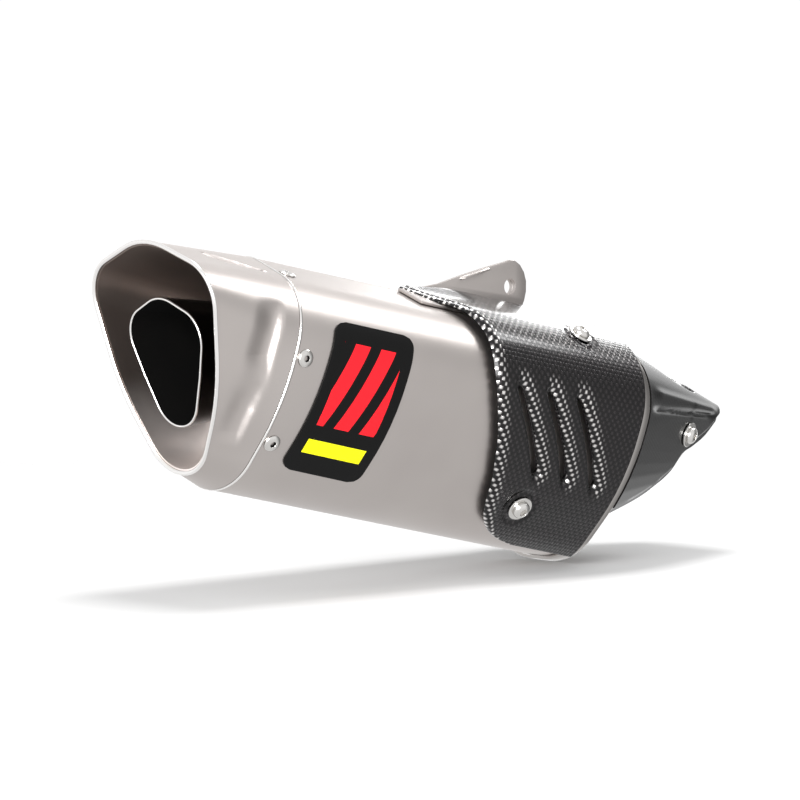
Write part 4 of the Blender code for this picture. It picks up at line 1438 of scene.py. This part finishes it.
@dataclass
class InletCover:
    """The gloss carbon hood over the inlet, cut away underneath and turned in at its edge.

    Sizes are in mm. The edge, the crease and the leaf are given as x and height.
    """

    start: float = 255.9
    end: float = 349.0
    wall: float = 1.6
    end_corners: tuple[Corner, ...] = (
        Corner(0, 49, 20), Corner(34.5, 41.5, 4), Corner(27, 6, 60), Corner(12, -20, 10))
    edge: tuple[tuple[float, float], ...] = (
        (255.9, -37), (283, -24), (297, -14.5), (309, -4), (316, 8), (327, 14.5), (340, 23), (349, 33))
    screw: tuple[float, float] = (313.0, 20.0)
    crease: tuple[tuple[float, float], ...] = ((255.9, 27.0), (317.0, 33.0), (349.0, 36.0))
    crease_depth: float = 2.6
    crease_width: float = 2.2
    ridge_height: float = 1.6
    ridge_width: float = 2.6
    ridge_gap: float = 2.5
    ridge_spread: float = 0.075
    relief_fade: float = 14.0
    leaf: tuple[tuple[float, float], ...] = ((262.0, 62.0), (321.0, 46.5))
    leaf_width: float = 4.2
    leaf_roundness: float = 0.8
    leaf_depth: float = 1.3
    leaf_edge: tuple[float, float] = (-0.8, 0.3)
    hem_depth: float = 1.5
    hem: tuple[float, float] = (4.0, 5.5)
    gap: float = 0.6
    seat_reach: tuple[float, float] = (4.0, 5.0)
    columns: int = 90
    rows: int = 220

    def relief(self, x: float, z: float, left: float) -> float:
        """How deep the face is pressed in.

        Args:
            x: distance from the joint in mm.
            z: height in mm.
            left: what is left of the section before its lower edge, in mm.

        Returns:
            The depth in mm.
        """
        crease = smooth_between(self.crease, x)
        deep = self.crease_depth * math.exp(-((z - crease) / self.crease_width) ** 2)
        ridge = crease + self.ridge_spread * (self.end - x) + self.ridge_gap
        deep -= self.ridge_height * math.exp(-((z - ridge) / self.ridge_width) ** 2)
        fade = self.relief_fade
        deep *= ease(self.start, self.start + fade, x) * (1 - ease(self.end - fade, self.end, x))
        (x0, z0), (x1, z1) = self.leaf
        share = (x - x0) / (x1 - x0)
        if 0 < share < 1:
            half = self.leaf_width * math.sin(math.pi * share) ** self.leaf_roundness
            away = abs(z - z0 - (z1 - z0) * share)
            inner, outer = self.leaf_edge
            deep += self.leaf_depth * (1 - ease(half + inner, half + outer, away))
        return deep + self.hem_depth * (1 - ease(*self.hem, left))

    def half_section(self, x: float) -> list[tuple[Vector, Vector]]:
        """Cut the outboard half across.

        Args:
            x: distance from the joint in mm.

        Returns:
            Points and outward directions, from the ridge down to the lower edge.
        """
        share = (x - self.start) / (self.end - self.start)
        tail = rounded(self.end_corners)
        outs = normals_of(tail)
        kept: list[tuple[Vector, Vector]] = []
        edge = smooth_between(self.edge, x)
        for k in range(CAN.count // 2 + 1):
            head = CAN.point(SLEEVE_LENGTH, k, self.wall + self.gap)
            end = tail[k] + outs[k] * self.wall
            out = CAN.outs[1][k].lerp(outs[k], share).normalized()
            here = Vector((x, head.y + (end.x - head.y) * share, head.z + (end.y - head.z) * share))
            away = Vector((0, out.x, out.y))
            if here.z < edge:
                above, above_out = kept[-1]
                part = (above.z - edge) / (above.z - here.z)
                kept.append((above.lerp(here, part), above_out.lerp(away, part)))
                break
            kept.append((here, away))
        return kept

    def seat(self, side: Side) -> Matrix:
        """Set up the frame of the screw on one side of the cover.

        Args:
            side: the side of the can.

        Returns:
            The frame, in metres, its z axis pointing out of the cover.
        """
        def at(x: float, z: float) -> Vector:
            """Find a point of the outboard face.

            Args:
                x: distance from the joint in mm.
                z: height in mm.

            Returns:
                The point in mm.
            """
            kept = [here for here, _ in self.half_section(x)]
            above, below = next((a, b) for a, b in zip(kept, kept[1:]) if a.z >= z > b.z)
            return above.lerp(below, (above.z - z) / (above.z - below.z))

        x, z = self.screw
        along, up = self.seat_reach
        here = at(x, z)
        out = (at(x + along, z) - at(x - along, z)).cross(at(x, z - up) - at(x, z + up)).normalized()
        out = out if out.y < 0 else -out
        if side is Side.INBOARD:
            here.y, out.y = -here.y, -out.y
        return Matrix.Translation(here * MM) @ out.to_track_quat("Z", "Y").to_matrix().to_4x4()

    def build(self, finishes: Finishes) -> None:
        """Build the cover.

        Args:
            finishes: the finishes in use.
        """
        sections: dict[int, list[tuple[Vector, Vector]]] = {}

        def section_at(along: float) -> list[tuple[Vector, Vector]]:
            """Cut the half section, once for each station.

            Args:
                along: share from ring to tip.

            Returns:
                Its points and outward directions.
            """
            key = round(along * self.columns)
            if key not in sections:
                sections[key] = self.half_section(self.start + (self.end - self.start) * key / self.columns)
            return sections[key]

        def lengths_of(kept: list[tuple[Vector, Vector]]) -> list[float]:
            """The lengths of a section's stretches."""
            return [(b[0] - a[0]).length for a, b in zip(kept, kept[1:])]

        def place(along: float, across: float) -> Vector:
            """Find a point of the cover's face.

            Args:
                along: share from ring to tip.
                across: share from the outboard to the inboard lower edge.

            Returns:
                The point in mm.
            """
            kept = section_at(along)
            lengths = lengths_of(kept)
            whole = sum(lengths)
            run = left = abs(2 * across - 1) * whole
            sign = 1 if across < 0.5 else -1
            spot, out = kept[-1]
            for (a, a_out), (b, b_out), length in zip(kept, kept[1:], lengths):
                if left <= length:
                    spot, out = a.lerp(b, left / length), a_out.lerp(b_out, left / length)
                    break
                left -= length
            spot = spot - out * self.relief(spot.x, spot.z, whole - run)
            return Vector((spot.x, spot.y * sign, spot.z))

        def cloth(along: float, across: float) -> tuple[float, float]:
            """The place on the cloth: x along the can and the run from the ridge."""
            whole = sum(lengths_of(section_at(along)))
            return (self.end - self.start) * along, (2 * across - 1) * whole

        cover = sheet_piece("inlet_cover_carbon", self.columns, self.rows, place, self.wall, cloth)
        dress(cover, finishes.cover, "carbon_gloss", "inlet_cover", smooth=40)


# ------------------------------------------------------------------ hanger and fasteners


@dataclass
class Hanger:
    """The titanium hanger: an upright tab with a folded edge, a bush and a base plate.

    Sizes are in mm. The tab's outline, its hole and its fold are given as x and height, the
    fold's section as y and lift, and the bush's as radius and height.
    """

    y: tuple[float, float] = (0.5, 3.0)
    hole: tuple[float, float] = (194.5, 85.2)
    hole_radius: float = 4.6
    outline: Steps = (
        (114, 66.4), (140, 76.2), (156, 84.2), (174, 92.6), (187, 98.2), (191, 100.3), (195.5, 100.9),
        (200, 99.3), (204, 95.8), (206.8, 91), (208, 85), (207.6, 79.5), (206.4, 75.5), (204.6, 71.8),
        (202.5, 69.6))
    tab_edge: float = 0.4
    fold: Steps = ((153.0, 82.0), (157.0, 83.9), (174.5, 92.2))
    fold_sizes: tuple[float, ...] = (0.05, 1.0, 1.0)
    fold_root: tuple[float, float] = (1.8, -0.6)
    fold_section: Steps = (
        (1.8, 0.1), (0.2, 0.4), (-1.4, 0.2), (-1.9, -0.4), (-1.9, -1.5), (-1.2, -1.5), (-1.1, -0.8),
        (0.4, -0.7), (1.8, -0.8))
    fold_edge: float = 0.25
    bush_section: Steps = (
        (4.6, 0.3), (5.0, 0.0), (7.6, 0.0), (8.0, 0.4), (8.0, 2.4), (7.6, 2.8), (5.0, 2.8), (4.6, 2.5))
    bush_gap: float = 0.3
    base_x: tuple[float, float] = (101.0, 206.0)
    base_runs: tuple[float, float] = (2.4, 32.5)
    base_lead: float = 7.0
    base_lead_share: float = 0.4
    base_lift: float = 2.1
    base_wall: float = 1.5
    base_edge: float = 0.3

    def build_tab(self, finishes: Finishes) -> None:
        """Cut the tab from sheet, ease its edges and drill it.

        Args:
            finishes: the finishes in use.
        """
        tab = loft("hanger_tab_sheet", [[Vector((x, y, z)) for x, z in self.outline] for y in self.y],
                   Ends.FILLED)
        soften(tab, self.tab_edge)
        middle = Matrix.Translation(Vector((self.hole[0], sum(self.y) / 2, self.hole[1])) * MM)
        drill(tab, middle @ Matrix.Rotation(math.pi / 2, 4, "X"), self.hole_radius, sides=48)
        dress(tab, finishes.titanium, "titanium_satin", "hanger_tab")

    def build_fold(self, finishes: Finishes) -> None:
        """Fold the stiffening edge outboard along the tab's upper side.

        Args:
            finishes: the finishes in use.
        """
        root_y, root_lift = self.fold_root
        rings = []
        for (x, z), size in zip(self.fold, self.fold_sizes):
            foot = z + root_lift
            rings.append([Vector((x, root_y + (y - root_y) * size, foot + (lift - root_lift) * size))
                          for y, lift in self.fold_section])
        fold = loft("hanger_folded_edge", rings, Ends.FILLED)
        soften(fold, self.fold_edge)
        dress(fold, finishes.titanium, "titanium_satin")

    def build_bush(self, finishes: Finishes) -> None:
        """Turn the bush behind the tab's hole.

        Args:
            finishes: the finishes in use.
        """
        bush = turned("hanger_bush_ring", self.bush_section, Ends.JOINED, 48)
        seat = Matrix.Translation(Vector((self.hole[0], self.y[1] + self.bush_gap, self.hole[1])) * MM)
        bush.matrix_world = seat @ Matrix.Rotation(-math.pi / 2, 4, "X")
        dress(bush, finishes.titanium, "titanium_satin", "hanger_bush")

    def base_point(self, along: float, across: float) -> Vector:
        """Find a point of the base plate.

        Args:
            along: share from front to rear.
            across: share from top to bottom.

        Returns:
            The point in mm.
        """
        (start, end), (top, bottom) = self.base_x, self.base_runs
        top += self.base_lead * (1 - ease(0.0, self.base_lead_share, along))
        return CAN.point(start + (end - start) * along, CAN.place(top + (bottom - top) * across),
                         self.base_lift)

    def build_base(self, finishes: Finishes) -> None:
        """Bend the base plate onto the sleeve under the shield's top.

        Args:
            finishes: the finishes in use.
        """
        base = sheet_piece("hanger_base_plate", 12, 12, self.base_point, self.base_wall)
        soften(base, self.base_edge)
        dress(base, finishes.titanium, "titanium_satin", "hanger_base")

    def build(self, finishes: Finishes) -> None:
        """Build the hanger's pieces.

        Args:
            finishes: the finishes in use.
        """
        self.build_tab(finishes)
        self.build_fold(finishes)
        self.build_bush(finishes)
        self.build_base(finishes)


@dataclass
class Fasteners:
    """Rivets, screws and washers, each turned once and copied.

    Sections are rows of (radius, height) in mm. A row of rivets is given by its x and a screw
    by its x and its share of the way from the ridge to the bottom.
    """

    rivet_section: Steps = (
        (4.7, 0.1), (4.75, 0.45), (4.4, 0.9), (3.6, 1.3), (2.6, 1.5), (1.8, 1.45), (1.6, 1.1), (1.5, -3.4),
        (0.02, -3.5), (1.9, -3.9), (1.9, 0.0))
    rivet_points: int = 32
    rivet_bore: tuple[int, int] = (6, 8)
    rivet_shares: tuple[float, ...] = (0.165, 0.469, 0.735)
    rivet_x: tuple[tuple[str, float], ...] = (("outlet", 7.0), ("inlet", 240.0))
    screw_section: Steps = (
        (0.0, 1.4), (2.0, 1.4), (2.05, 3.1), (2.4, 3.35), (3.4, 3.1), (4.4, 2.4), (5.0, 1.5), (5.2, 0.5),
        (5.0, 0.0), (3.0, 0.0), (3.0, -11.0), (0.0, -11.0))
    screw_socket: tuple[int, int] = (1, 2)
    washer_section: Steps = (
        (3.3, 0.0), (7.2, 0.0), (7.5, 0.3), (7.5, 0.9), (7.2, 1.2), (5.6, 1.2), (3.3, 1.2))
    screws: tuple[tuple[str, float, float], ...] = (("top", 206.0, 0.235), ("lower", 183.0, 0.745))
    shield_face: float = 7.6
    washer_gap: float = 0.3
    head_lift: float = 1.3

    def place(self, share: float) -> float:
        """The place at a share of the way from the ridge to the bottom."""
        return CAN.place(share * CAN.lengths[-1])

    def build_rivets(self, finishes: Finishes) -> None:
        """Turn one blind rivet and set its copies round both ends of the sleeve.

        Args:
            finishes: the finishes in use.
        """
        pattern = turned("rivet_pattern", self.rivet_section, Ends.JOINED, self.rivet_points)
        start, end = self.rivet_bore
        for label, x in self.rivet_x:
            places = [(side, share) for side in Side for share in self.rivet_shares]
            for i, (side, share) in enumerate(places):
                name = f"rivet_{label}_{i + 1}"
                rivet = copy_to(pattern, f"{name}_head", CAN.seat(x, self.place(share), 0.0, side))
                rivet.data.materials.append(finishes.steel)
                # Painted shade: the rivet's bore is coloured black where there is only shade.
                rivet.data.materials.append(finishes.soot_and_shade)
                for face in rivet.data.polygons:
                    if start <= face.index // self.rivet_points < end:
                        face.material_index = 1
                dress(rivet, finishes.steel, "stainless_steel", name)
        bpy.data.objects.remove(pattern)

    def build_screws(self, finishes: Finishes) -> None:
        """Turn one button-head screw and one washer, and set them on shield and cover.

        Args:
            finishes: the finishes in use.
        """
        head = turned("screw_pattern", self.screw_section, Ends.OPEN, 48, self.screw_socket)
        washer = turned("washer_pattern", self.washer_section, Ends.JOINED, 48)
        seats = {f"shield_{{}}_{label}": CAN.seat(x, self.place(share), self.shield_face)
                 for label, x, share in self.screws}
        seats.update({f"cover_{{}}_{side.name.lower()}": InletCover().seat(side) for side in Side})
        for name, face in seats.items():
            seat = face @ Matrix.Translation((0, 0, self.washer_gap * MM))
            ring = copy_to(washer, name.format("washer") + "_ring", seat)
            dress(ring, finishes.steel, "stainless_steel", name.format("washer"))
            lifted = seat @ Matrix.Translation((0, 0, self.head_lift * MM))
            screw = copy_to(head, name.format("screw") + "_head", lifted)
            dress(screw, finishes.steel, "stainless_steel", name.format("screw"))
        bpy.data.objects.remove(head)
        bpy.data.objects.remove(washer)

    def build(self, finishes: Finishes) -> None:
        """Build all the fasteners."""
        self.build_rivets(finishes)
        self.build_screws(finishes)


@dataclass
class Inlet:
    """The slotted inlet pipe with its band clamp, nut and screw, with their sizes in mm."""

    axis_z: float = 6.0
    pipe: tuple[float, float] = (216.6, 304.0)
    pipe_radius: float = 27.0
    pipe_wall: float = 1.5
    pipe_edge: Steps = ((0.7, 0.0), (0.0, 0.4), (0.0, 1.1), (0.6, 1.5))
    plain_end: float = 20.0
    slot_length: float = 22.0
    slot_width: float = 2.5
    clamp_x: float = 290.5
    clamp_turn: float = math.radians(35)
    clamp_radius: float = 27.3
    clamp_wall: float = 2.0
    clamp_width: float = 14.0
    gap: float = 2.5
    ear: float = 5.5
    ear_reach: float = 43.0
    screw_reach: float = 36.5
    arc_steps: int = 72
    band_edge: float = 0.5
    nut_bore: float = 2.8
    head_gap: float = 0.3

    def clamp_axis(self) -> Matrix:
        """The clamp's frame, in metres, its x axis along the pipe."""
        middle = Matrix.Translation(Vector((self.clamp_x, 0, self.axis_z)) * MM)
        return middle @ Matrix.Rotation(self.clamp_turn, 4, "X")

    def screw_axis(self) -> Matrix:
        """The clamp screw's frame, in metres, its z axis along the screw."""
        down = Matrix.Translation((0, 0, -self.screw_reach * MM))
        return self.clamp_axis() @ down @ Matrix.Rotation(math.pi / 2, 4, "X")

    def build_pipe(self, finishes: Finishes) -> None:
        """Draw the pipe, ease its open end and saw its slots.

        Args:
            finishes: the finishes in use.
        """
        start, end = self.pipe
        outer, inner = self.pipe_radius, self.pipe_radius - self.pipe_wall
        profile = [(start, outer), (end - self.plain_end, outer)]
        profile += [(end - back, outer - inward) for back, inward in self.pipe_edge]
        profile += [(end - self.plain_end, inner), (start, inner)]
        pipe = loft("inlet_pipe_tube", [circle(x, radius, 96, self.axis_z) for x, radius in profile])
        for turn in (math.pi / 4, 3 * math.pi / 4):
            bpy.ops.object.select_all(action="DESELECT")
            bpy.ops.mesh.primitive_cube_add(size=MM)
            saw = bpy.context.object
            place = Matrix.Translation(Vector((end, 0, self.axis_z)) * MM) @ Matrix.Rotation(turn, 4, "X")
            saw.matrix_world = place @ Matrix.Diagonal(
                (2 * self.slot_length, self.slot_width, 3 * self.pipe_radius, 1))
            apply_modifier(pipe, "slot", "BOOLEAN", operation="DIFFERENCE", solver="EXACT", object=saw)
            bpy.data.objects.remove(saw)
        dress(pipe, finishes.tinted, "titanium_satin", "inlet_pipe")

    def arc(self, radius: float, half_gap: float) -> list[tuple[float, float]]:
        """Draw an open circle that leaves a gap at the bottom.

        Args:
            radius: its radius in mm.
            half_gap: half the gap in mm.

        Returns:
            Its points across the pipe, from the gap's one side round to the other.
        """
        hidden = math.asin(half_gap / radius)
        sweep = math.tau - 2 * hidden
        angles = [hidden - math.pi / 2 + sweep * k / self.arc_steps for k in range(self.arc_steps + 1)]
        return [(radius * math.cos(a), radius * math.sin(a)) for a in angles]

    def build_band(self, finishes: Finishes) -> None:
        """Bend the clamp's band with its two ears, ease its edges and drill the ears.

        Args:
            finishes: the finishes in use.
        """
        low, half = -self.ear_reach, self.clamp_width / 2
        outline = [(self.gap, low)] + self.arc(self.clamp_radius, self.gap)
        outline += [(-self.gap, low), (-self.ear, low)]
        outline += self.arc(self.clamp_radius + self.clamp_wall, self.ear)[::-1] + [(self.ear, low)]
        rings = [[Vector((x, y, z)) for y, z in outline] for x in (-half, half)]
        band = loft("clamp_strap", rings, Ends.FILLED)
        soften(band, self.band_edge)
        band.matrix_world = self.clamp_axis()
        drill(band, self.screw_axis(), self.nut_bore)
        dress(band, finishes.steel, "stainless_steel", "clamp_band", body="inlet_clamp")

    def build_screw(self, finishes: Finishes) -> None:
        """Turn the clamp's socket screw and its nut.

        Args:
            finishes: the finishes in use.
        """
        top = self.ear + self.head_gap
        screw = turned("clamp_screw_turned", (
            (0.0, top + 2.5), (2.0, top + 2.5), (2.0, top + 4.7), (2.3, top + 5.0), (3.9, top + 5.0),
            (4.2, top + 4.6), (4.2, top + 0.3), (3.9, top), (2.5, top), (2.5, -top - 5.2),
            (2.2, -top - 5.5), (0.0, -top - 5.5)), Ends.OPEN, 48, (1, 2))
        screw.matrix_world = self.screw_axis()
        dress(screw, finishes.steel, "stainless_steel", "clamp_screw", body="clamp_bolt")
        nut = turned("clamp_nut_hexagon", (
            (self.nut_bore, -top), (3.9, -top), (4.0, -top - 0.3), (4.0, -top - 3.7), (3.9, -top - 4.0),
            (self.nut_bore, -top - 4.0)), Ends.JOINED, 48, (2, 3))
        nut.matrix_world = self.screw_axis()
        dress(nut, finishes.steel, "stainless_steel", "clamp_nut", body="inlet_clamp")

    def build(self, finishes: Finishes) -> None:
        """Build the inlet's pieces.

        Args:
            finishes: the finishes in use.
        """
        self.build_pipe(finishes)
        self.build_band(finishes)
        self.build_screw(finishes)


@dataclass
class KeptNodes:
    """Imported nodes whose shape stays, with the finish that each gets."""

    steel: tuple[str, ...] = (
        "cover_nut_inboard", "cover_nut_outboard", "perforated_core", "outlet_bulkhead")
    titanium: tuple[str, ...] = (
        "cover_arm_inboard", "cover_arm_outboard", "shield_boss_lower", "shield_boss_top",
        "inlet_bulkhead")

    wool: tuple[str, ...] = ("packing_wool",)

    def build(self, finishes: Finishes) -> None:
        """Dress the nodes whose shape stays.

        Args:
            finishes: the finishes in use.
        """
        for names, material in ((self.steel, finishes.steel), (self.titanium, finishes.titanium),
                                (self.wool, finishes.wool)):
            for name in names:
                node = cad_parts[name]
                node.data.materials.clear()
                node.data.materials.append(material)
                LOG.info("%s: kept, in %s", name, material.name)


# ------------------------------------------------------------------ studio


@dataclass(frozen=True)
class SoftBox:
    """A soft box: its name, its place and size in metres and its power in watts."""

    name: str
    at: tuple[float, float, float]
    size: tuple[float, float]
    power: float


@dataclass
class Studio:
    """A pale floor, soft boxes, pale surroundings and the camera.

    The camera's place is in mm. The room's brightness is given by height, from -1 straight
    down to 1 straight up.
    """

    camera_at: tuple[float, float, float] = (-1134.1, -1183.4, 21.8)
    heading: float = math.radians(41.58)
    dip: float = math.radians(3.065)
    lens: float = 126.9
    sensor: float = 36.0
    far: float = 200.0
    brightest: float = 1.1
    dark_side: float = 0.3
    dim_side: tuple[float, float] = (0.45, 0.92)
    floor_colour: str = "C6C6C6"
    floor_size: float = 2.4
    floor_drop: float = 0.0005
    floor_roughness: float = 0.9
    floor_reach: tuple[float, float] = (0.5, 1.1)
    aim: tuple[float, float, float] = (-0.05, 0.0, -0.06)
    boxes: tuple[SoftBox, ...] = (
        SoftBox("left_box", (-1.55, -0.8, 0.2), (1.2, 0.9), 44.0),
        SoftBox("top_box", (-0.05, 0.05, 1.4), (0.5, 0.4), 19.0),
        SoftBox("bend_box", (1.05, -0.4, 1.1), (0.5, 0.5), 7.0),
        SoftBox("back_box", (0.75, 0.5, 0.3), (0.36, 0.2), 1.3))
    room: tuple[tuple[float, float], ...] = (
        (-1.0, 0.8), (-0.72, 0.88), (-0.42, 0.95), (-0.15, 1.03), (0.0, 1.05), (0.28, 1.02), (0.5, 0.5),
        (1.0, 0.9))

    def build_floor(self) -> None:
        """Lay matt white paper under the lowest point, its rim fading into the room."""
        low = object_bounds()[0]
        bpy.ops.object.select_all(action="DESELECT")
        bpy.ops.mesh.primitive_plane_add(size=self.floor_size, location=(0, 0, low[2] - self.floor_drop))
        floor = bpy.context.object
        floor.name = "studio_floor"
        made, tree, shader = new_material("white_paper")
        shader.inputs["Base Color"].default_value = linear(self.floor_colour)
        shader.inputs["Roughness"].default_value = self.floor_roughness
        place = add_node(tree, "ShaderNodeTexCoord")
        away = add_node(tree, "ShaderNodeVectorMath", {"operation": "LENGTH"}, {0: (place, "Object")})
        fade = add_node(tree, "ShaderNodeMapRange", {"interpolation_type": "SMOOTHSTEP"}, {
            "Value": (away, "Value"), "From Min": self.floor_reach[0], "From Max": self.floor_reach[1],
            "To Min": 1.0, "To Max": 0.0})
        connect(tree, fade, 0, shader, "Alpha")
        floor.data.materials.append(made)
        floor.visible_glossy = False
        floor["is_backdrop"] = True

    def add_box(self, box: SoftBox) -> None:
        """Hang a soft box that faces the object.

        Args:
            box: the soft box.
        """
        data = bpy.data.lights.new(box.name, "AREA")
        data.shape = "RECTANGLE"
        data.size, data.size_y = box.size
        data.energy = box.power
        lamp = bpy.data.objects.new(box.name, data)
        bpy.context.scene.collection.objects.link(lamp)
        lamp.location = box.at
        lamp.visible_camera = False
        lamp.rotation_euler = (Vector(self.aim) - Vector(box.at)).to_track_quat("-Z", "Y").to_euler()

    def build_light(self) -> None:
        """Set the soft boxes and the pale surroundings, dimmer overhead and front right."""
        for box in self.boxes:
            self.add_box(box)
        world = bpy.data.worlds.new("pale_room")
        bpy.context.scene.world = world
        world.use_nodes = True
        tree = world.node_tree
        tree.nodes.clear()
        place = add_node(tree, "ShaderNodeTexCoord")
        axes = add_node(tree, "ShaderNodeSeparateXYZ", None, {0: (place, "Generated")})
        rise = add_node(tree, "ShaderNodeMapRange", None, {"Value": (axes, "Z"), "From Min": -1.0})
        ramp = add_node(tree, "ShaderNodeValToRGB", None, {"Fac": rise})
        stops = ramp.color_ramp.elements
        for i, (height, value) in enumerate(self.room):
            stop = stops[i] if i < 2 else stops.new(0.5)
            stop.position = (height + 1) / 2
            stop.color = (*(value / self.brightest,) * 3, 1.0)
        behind = add_node(tree, MATH, {"operation": "MAXIMUM"}, {0: (axes, "Y"), 1: 0.0})
        aside = add_node(tree, MATH, {"operation": "MULTIPLY_ADD"}, {
            0: behind, 1: -2.0, 2: (axes, "X")})
        dim = add_node(tree, "ShaderNodeMapRange", {"interpolation_type": "SMOOTHSTEP"}, {
            "Value": aside, "From Min": self.dim_side[0], "From Max": self.dim_side[1],
            "To Min": self.brightest, "To Max": self.brightest * self.dark_side})
        sky = add_node(tree, "ShaderNodeBackground", None, {"Color": ramp, "Strength": dim})
        add_node(tree, "ShaderNodeOutputWorld", None, {0: sky})
        bpy.context.scene.view_settings.view_transform = "Standard"

    def build_camera(self) -> None:
        """Place the camera."""
        data = bpy.data.cameras.new("view")
        data.lens = self.lens
        data.sensor_width = self.sensor
        data.clip_end = self.far
        camera = bpy.data.objects.new("view", data)
        bpy.context.scene.collection.objects.link(camera)
        camera.location = Vector(self.camera_at) * MM
        look = Vector((math.sin(self.heading) * math.cos(self.dip),
                       math.cos(self.heading) * math.cos(self.dip), -math.sin(self.dip)))
        camera.rotation_euler = look.to_track_quat("-Z", "Y").to_euler()
        bpy.context.scene.camera = camera

    def build(self) -> None:
        """Build the stage."""
        self.build_camera()
        self.build_floor()
        self.build_light()


def main() -> None:
    """Build every sub-assembly in order."""
    logging.basicConfig(level=logging.INFO, format="%(message)s")
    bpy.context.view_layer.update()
    finishes = Finishes()
    Studio().build()
    assemblies = (Mouth(), Sleeve(), HeatShield(), InletCover(), Hanger(), Fasteners(), Inlet(), KeptNodes())
    for assembly in assemblies:
        assembly.build(finishes)


if __name__ == "__main__":
    main()
